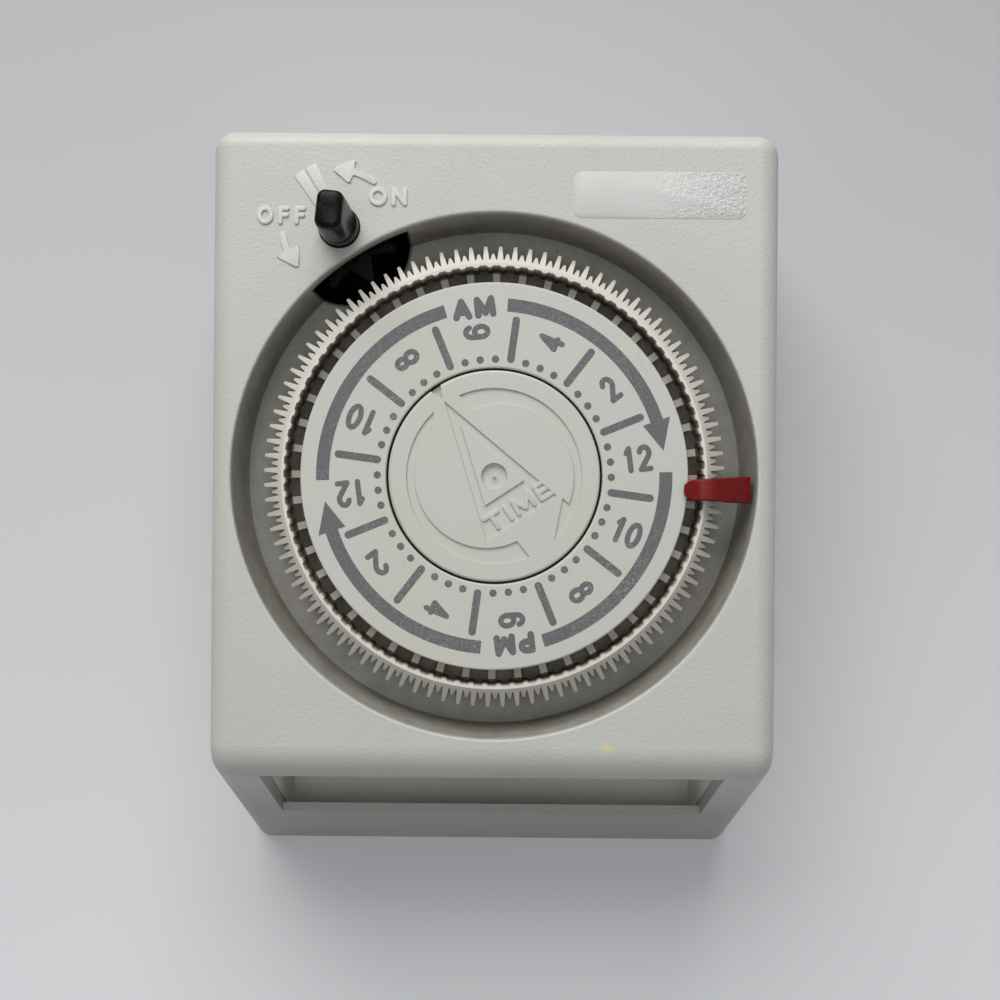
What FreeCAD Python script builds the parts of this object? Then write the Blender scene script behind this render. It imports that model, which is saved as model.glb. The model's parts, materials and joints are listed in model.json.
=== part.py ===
"""Programmable 24-hour dial timer: a slant-footed case with a turning dial,
one off tripper, a manual knob, a clock movement, a switch and an outlet.

Millimetres.  The timer lies on its back: Z = 0 is the back plane, +Z leaves
the face and +Y points to the top of the face.  The origin is the centre of
the case's outline on the back plane.  Each sub-part is built about the
dial's axis or its own axis and is put in place by its Placement.
"""
import FreeCAD, Part
import math
import os
import re
from FreeCAD import Vector

SIZES = {
    # Case
    "face_width": 85.2, "dial_to_top": 51.55, "dial_to_foot": 44.3, "case_depth": 42.0,
    "side_draft": 1.0, "foot_slant": 27.0, "wall": 2.4, "corner_round": 3.3,
    "face_round": 2.5, "foot_round": 6.0, "dial_y": 6.8, "joint_gap": 0.15,
    "boss_radius": 2.8, "boss_x": 37.3, "boss_top": 46.5, "boss_low": -36.0,
    "screw_radius": 1.2, "screw_clear": 0.05, "head_radius": 2.4, "head_height": 1.5,
    "keyhole_x": 29.0, "keyhole_low": 6.0, "keyhole_high": 13.0, "rim_round": 0.35,
    "keyhole_wide": 4.2, "keyhole_narrow": 2.1, "head_sink": 0.3, "head_clear": 0.2,
    "case_screw_tip": 12.0, "case_screw_room": 14.0, "plate_screw_tip": 25.0,
    "plate_screw_room": 26.0,
    # Dial recess and the opening in the slanted foot
    "rim_radius": 39.4, "floor_radius": 38.8, "recess_depth": 11.2, "cup_wall": 1.8,
    "floor_wall": 2.0, "foot_opening": 35.2, "opening_front": 39.2, "opening_back": 18.6,
    # Outlet chamber
    "chamber_y": -43.2, "chamber_wall": 1.8, "chamber_back": 6.0,
    "outlet_half": 15.5, "outlet_low": 6.2, "outlet_high": 27.8, "outlet_back": -27.2,
    "blade_pitch": 12.7, "blade_x": -4.0, "earth_x": 7.9, "outlet_mid": 17.0,
    "gland_x": -26.0, "gland_z": 14.0, "gland_radius": 5.0, "inlet_radius": 3.2,
    "gland_lip": 1.2, "gland_length": 5.0, "nut_rim": 1.0, "nut_end": 4.0,
    "line_half": 3.3, "neutral_half": 4.1, "slot_half": 0.95, "room_half": 4.5, "room_rise": 2.2,
    "room_front": 2.0, "contact_front": 2.4, "contact_tail": 2.0, "clip_half": 3.6,
    "clip_rise": 1.7, "clip_opening": 1.0, "earth_radius": 2.5, "earth_outer": 3.2,
    "earth_space": 3.4,
    # Dial
    "dial_top": 41.5, "channel_depth": 5.5, "plate_radius": 29.05, "plate_hole": 16.2,
    "plate_thick": 1.2, "disc_radius": 15.85, "disc_top": 41.6, "disc_thick": 2.0,
    "ring_teeth": 96, "ring_tip": 35.1, "ring_valley": 32.5, "ring_inner": 31.5,
    "ring_wave": 0.2, "ring_low": 31.4, "tip_top": 38.0,
    "ring_crest": 31.9, "floor_thick": 1.5, "ridge_tip": 33.8, "ridge_top": 38.8, "rail_wall": 1.3, "lug_count": 48,
    "rib_radius": 27.8, "lug_outer": 30.75, "lug_width": 1.1, "lug_top": 38.8, "dial_turn": 7.3,
    "rib_thick": 1.6, "inner_rib_out": 2.0, "inner_rib_in": 0.6, "rib_root": 0.5,
    "hub_radius": 6.0, "hub_step": 5.4, "hub_shoulder": 4.1, "hub_clear": 0.3,
    "hub_low": 23.5, "hub_high": 38.6, "post_radius": 3.0, "run_clear": 0.05,
    "dimple_radius": 1.93, "dimple_core": 0.22, "dimple_depth": 0.7, "notch_depth": 1.2,
    "relief_depth": 0.3, "arrow_outer": 13.15, "arrow_tail": 10.3, "arrow_neck": 11.95,
    # Tripper
    "trip_turn": 0.5, "trip_offset": -2.1, "trip_width": 3.6, "trip_blade": 2.2,
    "trip_reach": 38.2, "blade_inner": 29.1, "blade_outer": 31.0, "blade_clear": 0.1,
    # Movement
    "plate_low": 16.5, "plate_high": 18.0, "gear_pressure": 25.0,
    "sheet_left": -36.5, "sheet_right": 37.5, "sheet_near": -15.5, "sheet_far": 37.0,
    "notch_x": -9.0, "notch_y": 21.0, "drive_hole": 3.8, "arbor_radius": 1.0,
    "arbor_length": 12.2, "light_circle": 14.5, "light_radius": 4.5, "dial_gear_low": 25.2,
    "dial_gear_thick": 2.4, "washer_low": 24.7, "washer_radius": 9.5, "clip_low": 23.9,
    "clip_radius": 8.2, "idler_low": 20.8, "idler_thick": 2.2, "pinion_low": 3.6,
    "pinion_high": 7.0, "drive_low": 12.0, "drive_teeth_low": 8.6, "drive_high": 11.4,
    "stem_radius": 1.2,
    "dial_teeth": 72, "dial_module": 0.7, "pinion_teeth": 12,
    "idler_teeth": 48, "idler_module": 0.5, "idler_angle": 35.0, "idler_x": 24.083,
    "idler_y": 16.863, "drive_x": 9.311, "drive_y": 14.258, "motor_x": 1.0,
    "motor_y": 8.7, "motor_radius": 20.0, "motor_low": 3.2, "motor_wall": 0.8,
    "flange_thick": 1.0, "ear_pitch": 22.5, "ear_reach": 26.0, "ear_half": 4.0,
    "coil_outer": 18.4, "coil_inner": 13.2, "coil_low": 4.6, "coil_high": 9.8,
    "magnet_radius": 12.4, "magnet_low": 4.8, "magnet_high": 9.6, "rotor_radius": 0.8,
    "rotor_low": 4.2, "rotor_high": 11.2, "rotor_teeth": 10, "rotor_module": 0.4,
    "rotor_teeth_low": 9.4,
    # Knob and switch
    "knob_x": -23.43, "knob_y": 36.9, "knob_radius": 2.95, "knob_top": 54.0,
    "knob_hole": 3.12, "shaft_radius": 2.0, "pocket_radius": 9.8, "star_radius": 8.0,
    "star_valley": 5.0, "star_low": 31.8, "star_high": 36.0, "cam_radius": 5.2,
    "nose_radius": 0.75, "nose_reach": 8.9, "cam_flat": 4.2, "lever_x": -17.0, "lever_y": 28.6,
    "knob_sink": 2.2, "collar_rise": 2.9, "grip_half": 1.9, "socket_radius": 1.4,
    "socket_rise": 7.0, "knob_angle": -6.0, "shaft_low": 3.6, "star_points": 8,
    "star_tip_half": 2.5, "cam_low": 9.0, "cam_high": 13.0, "leaf_low": 32.4, "leaf_high": 35.4,
    "leaf_gap": 0.3, "leaf_thick": 0.3, "leaf_angle": 10.0,
    "box_left": -33.4, "box_right": -11.6, "box_near": 25.4, "box_far": 44.6, "box_low": 2.5,
    "box_high": 15.5, "box_wall": 1.2, "box_floor": 1.5, "bearing_radius": 3.4,
    "bearing_high": 6.0, "pin_radius": 0.8, "pin_boss": 1.8, "pin_boss_high": 7.8,
    "pin_low": 3.5, "pin_length": 11.0, "lever_half": 0.75, "lever_reach": 13.2,
    "lever_low": 8.0, "lever_high": 14.0, "lever_eye": 1.7, "contact_radius": 1.2,
    "contact_thick": 0.7, "contact_reach": 11.5, "contact_z": 11.0, "button_thick": 1.1,
    "strip_x": -13.8, "strip_thick": 0.6, "strip_near": 30.0, "strip_far": 43.2,
    "strip_low": 7.0, "strip_high": 18.0,
    # Wiring
    "lead_radius": 0.9,
}

doc = FreeCAD.newDocument("dial_timer")
sheet = doc.addObject("Spreadsheet::Sheet", "Sizes")
for row, (alias, number) in enumerate(SIZES.items(), start=1):
    sheet.set(f"A{row}", alias)
    sheet.set(f"B{row}", str(number))
    sheet.setAlias(f"B{row}", alias)
doc.recompute()

SUBPARTS = []
THROUGH_COVER = ("-1", "wall + 1")


# ---------------------------------------------------------------- helpers
def size(name):
    """The value of one cell of the sheet."""
    return float(sheet.get(name))


def formula(text):
    """Point each alias in a formula at its cell of the sheet."""
    def cell(word):
        return f"Sizes.{word.group()}" if word.group() in SIZES else word.group()
    return re.sub(r"[a-z]+(?:_[a-z]+)*", cell, str(text))


def place(item, at):
    """Bind an object's position to formulas."""
    for letter, text in zip("xyz", at):
        item.setExpression(f"Placement.Base.{letter}", formula(text))
    return item


def block(name, x, y, z):
    """A box between two places along each axis."""
    item = doc.addObject("Part::Box", name)
    for side, (low, high) in zip(("Length", "Width", "Height"), (x, y, z)):
        item.setExpression(side, formula(f"({high}) - ({low})"))
    return place(item, (x[0], y[0], z[0]))


def rod(name, radius, z, at=(0, 0)):
    """An upright cylinder between two heights."""
    item = doc.addObject("Part::Cylinder", name)
    item.setExpression("Radius", formula(radius))
    item.setExpression("Height", formula(f"({z[1]}) - ({z[0]})"))
    return place(item, (at[0], at[1], z[0]))


def cone(name, low_radius, high_radius, z, at=(0, 0)):
    """An upright cone between two heights."""
    item = doc.addObject("Part::Cone", name)
    item.setExpression("Radius1", formula(low_radius))
    item.setExpression("Radius2", formula(high_radius))
    item.setExpression("Height", formula(f"({z[1]}) - ({z[0]})"))
    return place(item, (at[0], at[1], z[0]))


def lying_rod(name, radius, y, x, z):
    """A cylinder along Y between two places."""
    item = doc.addObject("Part::Cylinder", name)
    item.Placement.Rotation = FreeCAD.Rotation(Vector(1, 0, 0), -90)
    item.setExpression("Radius", formula(radius))
    item.setExpression("Height", formula(f"({y[1]}) - ({y[0]})"))
    return place(item, (x, y[0], z))


def fuse(name, *items):
    """Join solids into one."""
    item = doc.addObject("Part::MultiFuse", name)
    item.Shapes = list(items)
    return item


def cut(name, base, *tools):
    """Take tools away from a base."""
    item = doc.addObject("Part::Cut", name)
    item.Base = base
    item.Tool = tools[0] if len(tools) == 1 else fuse(name + "_tools", *tools)
    return item


def common(name, first, second):
    """Keep what two solids share."""
    item = doc.addObject("Part::MultiCommon", name)
    item.Shapes = [first, second]
    return item


def tube(name, outer, inner, z, at=(0, 0)):
    """An upright ring between two heights."""
    bore = rod(name + "_bore", inner, (f"{z[0]} - 1", f"{z[1]} + 1"), at)
    return cut(name, rod(name + "_body", outer, z, at), bore)


def formed(name, shape):
    """An object whose outline comes from a formula."""
    item = doc.addObject("Part::Feature", name)
    item.Shape = shape
    return item


def group(name, items):
    """Separate solids that share one node."""
    item = doc.addObject("Part::Compound", name)
    item.Links = list(items)
    return item


def rounded(name, base, radius, wanted):
    """Round the edges of a base whose middle passes a test."""
    doc.recompute()
    item = doc.addObject("Part::Fillet", name)
    item.Base = base
    picked = []
    for number, edge in enumerate(base.Shape.Edges, start=1):
        middle = edge.valueAt((edge.FirstParameter + edge.LastParameter) / 2)
        if wanted(edge, middle):
            picked.append((number, radius, radius))
    item.Edges = picked
    return item


def subpart(label, item, at=(0, "dial_y", 0)):
    """Name a finished sub-part and put it in place."""
    item.Label = label
    place(item, at)
    SUBPARTS.append(item)
    return item


def prism(points, low, high):
    """An upright solid on a closed outline of (x, y) points."""
    corners = [Vector(x, y, low) for x, y in points]
    face = Part.Face(Part.makePolygon(corners + corners[:1]))
    return face.extrude(Vector(0, 0, high - low))


def polar(radius, degrees):
    """A point on a circle about the origin."""
    turn = math.radians(degrees)
    return radius * math.cos(turn), radius * math.sin(turn)


def turned(item, degrees):
    """Wrap an object so that it turns about the dial's axis."""
    holder = doc.addObject("Part::Compound", item.Name + "_turned")
    holder.Links = [item]
    holder.Placement.Rotation = FreeCAD.Rotation(Vector(0, 0, 1), degrees)
    return holder


def screw(name, at, head_low, head_high, tip):
    """A round-head screw with a driver slot; it points up."""
    head = rod(name + "_head", "head_radius", (head_low, head_high), at)
    shank = rod(name + "_shank", "screw_radius", (head_high, tip), at)
    slot = block(name + "_slot", (f"{at[0]} - 3", f"{at[0]} + 3"),
                 (f"{at[1]} - 0.3", f"{at[1]} + 0.3"), (f"{head_low} - 1", f"{head_low} + 0.6"))
    return cut(name, fuse(name + "_body", head, shank), slot)


# ---------------------------------------------------------------- gears
def involute(angle):
    """The involute function of a pressure angle in radians."""
    return math.tan(angle) - angle


def gear_outline(teeth, module, phase):
    """Involute teeth with a little backlash; phase turns a tooth's middle."""
    pressure = math.radians(size("gear_pressure"))
    pitch = teeth * module / 2
    base = pitch * math.cos(pressure)
    root = pitch - 1.25 * module
    tip = pitch + 0.85 * module
    half = 0.45 * math.pi / teeth
    steps = [max(base, root) + (tip - max(base, root)) * step / 3 for step in range(4)]
    flank = []
    for radius in steps:
        angle = half + involute(pressure) - involute(math.acos(min(1.0, base / radius)))
        flank.append((radius, math.degrees(angle)))
    if root < base:
        flank.insert(0, (root, flank[0][1]))
    points = []
    for tooth in range(teeth):
        middle = phase + tooth * 360 / teeth
        points += [polar(radius, middle - angle) for radius, angle in flank]
        points += [polar(radius, middle + angle) for radius, angle in reversed(flank)]
    return points


def gear(name, teeth, module, phase, low, high):
    """A plain toothed wheel between two heights."""
    return formed(name, prism(gear_outline(teeth, module, phase), low, high))


# ---------------------------------------------------------------- case
def case_form(name, inset, low, high):
    """The case's tapered form between two heights, moved in by an inset."""
    def half(z):
        return f"(face_width / 2 + (case_depth - ({z})) * tan(side_draft) - ({inset}))"

    def top(z):
        return f"(dial_to_top + (case_depth - ({z})) * tan(side_draft) - ({inset}))"

    def foot(z):
        return (f"(dial_to_foot + (case_depth - ({z})) * tan(foot_slant)"
                f" - ({inset}) / cos(foot_slant))")

    item = doc.addObject("Part::Wedge", name)
    item.Placement.Rotation = FreeCAD.Rotation(Vector(1, 0, 0), 90)
    limits = {
        "Ymin": low, "Ymax": high,
        "Xmin": f"-{half(low)}", "Xmax": half(low), "X2min": f"-{half(high)}", "X2max": half(high),
        "Zmin": f"-{top(low)}", "Zmax": foot(low), "Z2min": f"-{top(high)}", "Z2max": foot(high),
    }
    for prop, text in limits.items():
        item.setExpression(prop, formula(text))
    return item


def is_upright(edge, middle):
    """An edge that runs from back to face."""
    ends = [vertex.Point.z for vertex in edge.Vertexes]
    return len(ends) == 2 and abs(ends[0] - ends[1]) > 1.0


def make_front_shell():
    """Outer shell with the dial recess, the foot opening and screw bosses."""
    face = size("case_depth")
    form = case_form("outer_form", "0", "0", "case_depth")
    foot_y = -size("dial_to_foot")
    form = rounded("foot_rounded", form, size("foot_round"),
                   lambda edge, m: abs(m.z - face) < 0.01 and abs(m.y - foot_y) < 0.01)
    form = rounded("corners_rounded", form, size("corner_round"),
                   lambda edge, m: is_upright(edge, m) and abs(m.x) > 30)
    form = rounded("face_rounded", form, size("face_round"),
                   lambda edge, m: abs(m.z - face) < 0.01 and (m.y > foot_y + 8 or abs(m.x) > 38))
    cavity = case_form("cavity", "wall", "-1", "case_depth - wall")
    hollow = cut("hollow", form, cavity)

    floor_low = "case_depth - recess_depth - floor_wall"
    cup = rod("recess_cup", "rim_radius + cup_wall", (floor_low, "case_depth - wall / 2"))
    bosses = []
    holes = []
    for x in ("-boss_x", "boss_x"):
        for y in ("boss_top", "boss_low"):
            bosses.append(rod("case_boss", "boss_radius", ("wall + 0.1", "case_depth - wall"), (x, y)))
            holes.append(rod("case_boss_hole", "screw_radius + screw_clear",
                             ("wall", "case_screw_room"), (x, y)))
    for x, y in PLATE_SCREWS:
        bosses.append(rod("plate_boss", "boss_radius", ("plate_high", f"{floor_low} + 0.5"), (x, y)))
        holes.append(rod("plate_boss_hole", "screw_radius + screw_clear",
                         ("plate_low", "plate_screw_room"), (x, y)))
    body = fuse("shell_body", hollow, cup, *bosses)

    floor = "case_depth - recess_depth"
    space = cone("recess_space", "floor_radius", "rim_radius", (floor, "case_depth + 0.01"))
    hub_hole = rod("hub_hole", "hub_radius + hub_clear", (f"{floor_low} - 1", f"{floor} + 1"))
    knob_at = ("knob_x", "knob_y")
    pocket = rod("star_pocket", "pocket_radius", (f"{floor_low} - 1", "case_depth - wall"), knob_at)
    knob_hole = rod("knob_hole", "knob_hole", ("case_depth - wall - 1", "case_depth + 1"), knob_at)
    mouth = block("foot_opening", ("-foot_opening", "foot_opening"), ("2 * chamber_y", "chamber_y"),
                  ("opening_back", "opening_front"))
    rail = side_prism("rail_relief", size("chamber_back"), size("opening_back") + 1,
                      size("chamber_y"), size("rail_wall"), size("foot_opening"))
    shell = cut("sharp_shell", body, space, hub_hole, pocket, knob_hole, mouth, rail, *holes)
    rim = size("rim_radius")
    shell = rounded("front_shell", shell, size("rim_round"),
                    lambda edge, m: abs(m.z - face) < 0.02 and abs(math.hypot(m.x, m.y) - rim) < 0.1)
    subpart("front_shell", shell)


def make_back_cover():
    """Flat back with four countersunk screw places and two hanging keyholes."""
    form = case_form("cover_form", "wall + joint_gap", "0", "wall")
    form = rounded("cover_rounded", form, size("corner_round") / 3, is_upright)
    cuts = []
    for x in ("-boss_x", "boss_x"):
        for y in ("boss_top", "boss_low"):
            cuts.append(rod("cover_hole", "screw_radius + head_clear", THROUGH_COVER, (x, y)))
            cuts.append(rod("cover_seat", "head_radius + head_clear",
                            ("-1", "head_height + head_sink"), (x, y)))
    for x in ("-keyhole_x", "keyhole_x"):
        cuts.append(rod("keyhole_head", "keyhole_wide", THROUGH_COVER, (x, "keyhole_low")))
        cuts.append(rod("keyhole_end", "keyhole_narrow", THROUGH_COVER, (x, "keyhole_high")))
        cuts.append(block("keyhole_slot", (f"{x} - keyhole_narrow", f"{x} + keyhole_narrow"),
                          ("keyhole_low", "keyhole_high"), THROUGH_COVER))
    subpart("back_cover", cut("back_cover", form, *cuts))
    screws = []
    for x in ("-boss_x", "boss_x"):
        for y in ("boss_top", "boss_low"):
            screws.append(screw("case_screw", (x, y), "head_sink", "head_height + head_sink",
                                "case_screw_tip"))
    subpart("case_screws", group("case_screws", screws))


def foot_line(z, inset):
    """The Y of the slanted foot's surface at a height, moved in by an inset."""
    slant = math.radians(size("foot_slant"))
    fall = (size("case_depth") - z) * math.tan(slant)
    return -(size("dial_to_foot") + fall - inset / math.cos(slant))


def side_prism(name, low, high, top_y, inset, half):
    """A solid between a ceiling and the slanted foot, across the case."""
    profile = [(top_y, low), (foot_line(low, inset), low),
               (foot_line(high, inset), high), (top_y, high)]
    corners = [Vector(-half, y, z) for y, z in profile]
    face = Part.Face(Part.makePolygon(corners + corners[:1]))
    return formed(name, face.extrude(Vector(2 * half, 0, 0)))


def make_chamber():
    """The moulding that closes the foot opening, with the outlet and inlet."""
    skin = size("chamber_wall")
    half = size("foot_opening")
    low = size("chamber_back")
    high = size("case_depth") - size("wall") - 0.1
    ceiling = size("chamber_y")
    inset = size("wall") + 0.1
    outer = side_prism("chamber_outer", low - skin, high, ceiling + skin, inset, half + skin)
    inner = side_prism("chamber_inner", low, high + 1, ceiling, -3.0, half)
    outlet_hole = block("outlet_hole", ("-outlet_half", "outlet_half"), ("chamber_y - 1", "outlet_back"),
                        ("outlet_low", "outlet_high"))
    gland_hole = lying_rod("gland_hole", "gland_radius", ("chamber_y - 1", "outlet_back"),
                           "gland_x", "gland_z")
    subpart("outlet_chamber", cut("outlet_chamber", outer, inner, outlet_hole, gland_hole))

    stem = lying_rod("gland_stem", "gland_radius", ("chamber_y", "chamber_y + gland_length"),
                     "gland_x", "gland_z")
    flange = lying_rod("gland_flange", "gland_radius + gland_lip", ("chamber_y - gland_lip", "chamber_y"),
                       "gland_x", "gland_z")
    nut = lying_rod("gland_nut", "gland_radius + nut_rim",
                    ("chamber_y + chamber_wall", "chamber_y + nut_end"), "gland_x", "gland_z")
    bore = lying_rod("gland_bore", "inlet_radius",
                     ("chamber_y - gland_lip - 1", "chamber_y + gland_length + 1"),
                     "gland_x", "gland_z")
    subpart("cord_gland", cut("cord_gland", fuse("gland_body", stem, flange, nut), bore))


def make_outlet():
    """Three-slot outlet block with its spring contacts."""
    body = block("outlet_body", ("-outlet_half", "outlet_half"), ("chamber_y", "outlet_back"),
                 ("outlet_low", "outlet_high"))
    cuts = []
    blades = {
        "line": ("blade_x", "outlet_mid + blade_pitch / 2", "line_half"),
        "neutral": ("blade_x", "outlet_mid - blade_pitch / 2", "neutral_half"),
    }
    for name, (x, z, reach) in blades.items():
        cuts.append(block(f"{name}_slot", (f"{x} - {reach}", f"{x} + {reach}"),
                          ("chamber_y - 1", "outlet_back + 1"),
                          (f"{z} - slot_half", f"{z} + slot_half")))
        cuts.append(block(f"{name}_room", (f"{x} - room_half", f"{x} + room_half"),
                          ("chamber_y + room_front", "outlet_back + 1"),
                          (f"{z} - room_rise", f"{z} + room_rise")))
    cuts.append(lying_rod("earth_slot", "earth_radius", ("chamber_y - 1", "outlet_back + 1"),
                          "earth_x", "outlet_mid"))
    cuts.append(lying_rod("earth_room", "earth_space",
                          ("chamber_y + room_front", "outlet_back + 1"), "earth_x", "outlet_mid"))
    subpart("outlet_block", cut("outlet_block", body, *cuts))

    for name, (x, z, _) in blades.items():
        clip = block(f"{name}_clip", (f"{x} - clip_half", f"{x} + clip_half"),
                     ("chamber_y + contact_front", "outlet_back + contact_tail"),
                     (f"{z} - clip_rise", f"{z} + clip_rise"))
        gap = block(f"{name}_gap", (f"{x} - clip_half - 1", f"{x} + clip_half + 1"),
                    ("chamber_y", "outlet_back - contact_tail"),
                    (f"{z} - clip_opening", f"{z} + clip_opening"))
        subpart(f"outlet_contact_{name}", cut(f"contact_{name}", clip, gap))
    sleeve = lying_rod("earth_sleeve", "earth_outer",
                       ("chamber_y + contact_front", "outlet_back + contact_tail"),
                       "earth_x", "outlet_mid")
    sleeve_bore = lying_rod("earth_bore", "earth_radius",
                            ("chamber_y", "outlet_back - contact_tail"), "earth_x", "outlet_mid")
    subpart("outlet_contact_earth", cut("contact_earth", sleeve, sleeve_bore))


# ---------------------------------------------------------------- dial
def toothed_ring(valley, tip, tip_share, foot_share, low, high, shift=0.0):
    """An upright solid with a tooth at each pitch of the dial's ring."""
    pitch = 360 / size("ring_teeth")
    points = []
    for tooth in range(int(size("ring_teeth"))):
        middle = 90 + size("dial_turn") + (tooth + shift) * pitch
        points.append(polar(valley, middle - foot_share * pitch / 2))
        points.append(polar(tip, middle - tip_share * pitch / 2))
        points.append(polar(tip, middle + tip_share * pitch / 2))
        points.append(polar(valley, middle + foot_share * pitch / 2))
    return prism(points, low, high)


def make_dial():
    """Turning ring with setting teeth, a lugged channel, ribs and a hollow hub."""
    top = size("dial_top")
    low = size("ring_low")
    floor = "dial_top - channel_depth"
    crowned = []
    # Tip radius, shoulder height, shares of the pitch at tip and foot, and place in the pitch
    rows = {"tooth": ("ring_tip", "tip_top", 0.20, 0.44, -0.25),
            "ridge": ("ridge_tip", "ridge_top", 0.14, 0.44, 0.25)}
    for name, (tip, shoulder, tip_share, foot_share, shift) in rows.items():
        teeth = formed(f"{name}_points", toothed_ring(size("ring_valley"), size(tip), tip_share,
                                                      foot_share, low, top, shift))
        straight = rod(f"{name}_straight", tip, ("ring_low", shoulder))
        crown = cone(f"{name}_crown", tip, "ring_crest", (shoulder, "dial_top"))
        envelope = fuse(f"{name}_envelope", straight, crown)
        crowned.append(common(f"{name}_crowned", teeth, envelope))
    inner = size("ring_inner")
    wave = size("ring_wave")
    floor_high = top - size("channel_depth")
    channel = formed("ring_channel", toothed_ring(inner - wave, inner + 0.05, 0.45, 0.75,
                                                  floor_high, top + 1))
    under = rod("ring_under", "ring_inner", ("ring_low - 1", f"{floor} - floor_thick"))
    ring = cut("ring_cut", fuse("ring_crowned", *crowned), channel, under)
    lugs = []
    for lug in range(int(size("lug_count"))):
        item = block("lug", ("rib_radius - rib_thick / 2", "lug_outer"), ("-lug_width / 2", "lug_width / 2"),
                     (f"{floor} - rib_root", "lug_top"))
        lugs.append(turned(item, 90 + size("dial_turn") + lug * 360 / size("lug_count")))
    outer_rib = tube("outer_rib", "rib_radius", "rib_radius - rib_thick",
                     (f"{floor} - rib_root", "dial_top - plate_thick"))
    inner_rib = tube("inner_rib", "plate_hole + inner_rib_out", "plate_hole + inner_rib_in",
                     (f"{floor} - rib_root", "dial_top - plate_thick"))
    hub = rod("hub", "hub_radius", ("hub_low + hub_shoulder", "hub_high"))
    hub_end = rod("hub_end", "hub_step", ("hub_low", "hub_high"))
    body = fuse("dial_body", ring, outer_rib, inner_rib, hub, hub_end, *lugs)
    bore = rod("hub_bore", "post_radius + run_clear", ("hub_low - 1", "hub_high + 1"))
    subpart("dial_ring", cut("dial_ring", body, bore))

    plate = tube("plate_disc", "plate_radius", "plate_hole", ("dial_top - plate_thick", "dial_top"))
    plate = rounded("plate_rounded", plate, 0.25,
                    lambda edge, m: abs(m.z - top) < 0.01 and len(edge.Vertexes) == 1)
    subpart("dial_plate", plate)

    face = rod("disc_face", "disc_radius", ("disc_top - disc_thick", "disc_top"))
    face = rounded("disc_rounded", face, 0.4,
                   lambda edge, m: abs(m.z - size("disc_top")) < 0.01 and len(edge.Vertexes) == 1)
    dimple = tube("disc_dimple", "dimple_radius", "dimple_core",
                  ("disc_top - dimple_depth", "disc_top + 1"))
    subpart("centre_disc", cut("centre_disc", face, dimple, *disc_relief()))
    post = rod("centre_post", "post_radius", ("plate_low", "disc_top - disc_thick"))
    subpart("centre_post", post, (0, "dial_y", "plate_low"))


def disc_relief():
    """Shallow sunk marks of the centre disc: the pointer, two arrows and a notch."""
    top = size("disc_top")
    low = top - size("relief_depth")
    island = prism(POINTER_ISLAND, low - 1, top + 1)
    pointer = formed("pointer_relief", prism(POINTER, low, top + 1).cut(island))
    notch = formed("pointer_notch", prism([polar(16.5, 128.3), polar(16.5, 119.9),
                                           polar(13.95, 124.5)],
                                          top - size("notch_depth"), top + 1))
    outer = size("arrow_outer")
    tail = size("arrow_tail")
    neck = size("arrow_neck")
    rim = [polar(outer, angle) for angle in range(114, -46, -4)]
    inside = [polar(neck + (tail - neck) * max(0.0, angle / 110) ** 1.5, angle)
              for angle in range(-20, 111, 5)]
    outline = rim + [polar(outer, -46.3), polar(11.3, -30), polar(10.76, -17.5)] + inside
    arrows = []
    for turn in (0, 180):
        shape = prism(outline, low, top + 1)
        shape.rotate(Vector(0, 0, 0), Vector(0, 0, 1), turn)
        arrows.append(formed("arrow_relief", shape))
    return [pointer, notch, *arrows]


def make_tripper():
    """Red off tripper: a nose, a flat top, a sloping flag and a slot blade."""
    width = size("trip_width")
    reach = size("trip_reach")
    # Radius and height round the tripper's side, then radius and width of its plan
    profile = [(28.35, 42.3), (30.4, 44.0), (32.7, 44.0), (reach, 40.7), (reach, 36.3),
               (35.4, 36.3), (35.4, 38.4), (33.3, 41.6), (31.1, 41.6), (28.6, 41.6)]
    corners = [Vector(radius, -width / 2, z) for radius, z in profile]
    face = Part.Face(Part.makePolygon(corners + corners[:1]))
    flag = formed("tripper_flag", face.extrude(Vector(0, width, 0)))
    nose = [(28.2, -0.6), (28.9, -1.3), (30.2, -width / 2), (40, -width / 2),
            (40, width / 2), (30.2, width / 2), (28.9, 1.3), (28.2, 0.6)]
    shaped = common("tripper_shaped", flag, formed("tripper_plan", prism(nose, 30, 50)))
    blade = block("tripper_blade", ("blade_inner", "blade_outer"), ("-trip_blade / 2", "trip_blade / 2"),
                  ("dial_top - channel_depth + blade_clear", "dial_top + 0.5"))
    tripper = fuse("off_tripper", shaped, blade)
    tripper.Placement.Rotation = FreeCAD.Rotation(Vector(0, 0, 1), size("trip_turn"))
    subpart("off_tripper", tripper, (0, "dial_y + trip_offset", 0))


# ---------------------------------------------------------------- movement
POINTER = [(-7.53, 11.09), (9.34, -2.85), (-1.06, -9.86)]
POINTER_ISLAND = [(-5.06, 7.58), (4.46, -0.63), (-1.34, -4.46)]
PLATE_SCREWS = [("33", "-12"), ("-33", "-10"), ("12", "33")]
MOTOR_EARS = ("motor_x - ear_pitch", "motor_x + ear_pitch")
THROUGH_PLATE = ("plate_low - 1.5", "plate_high + 1")


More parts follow.
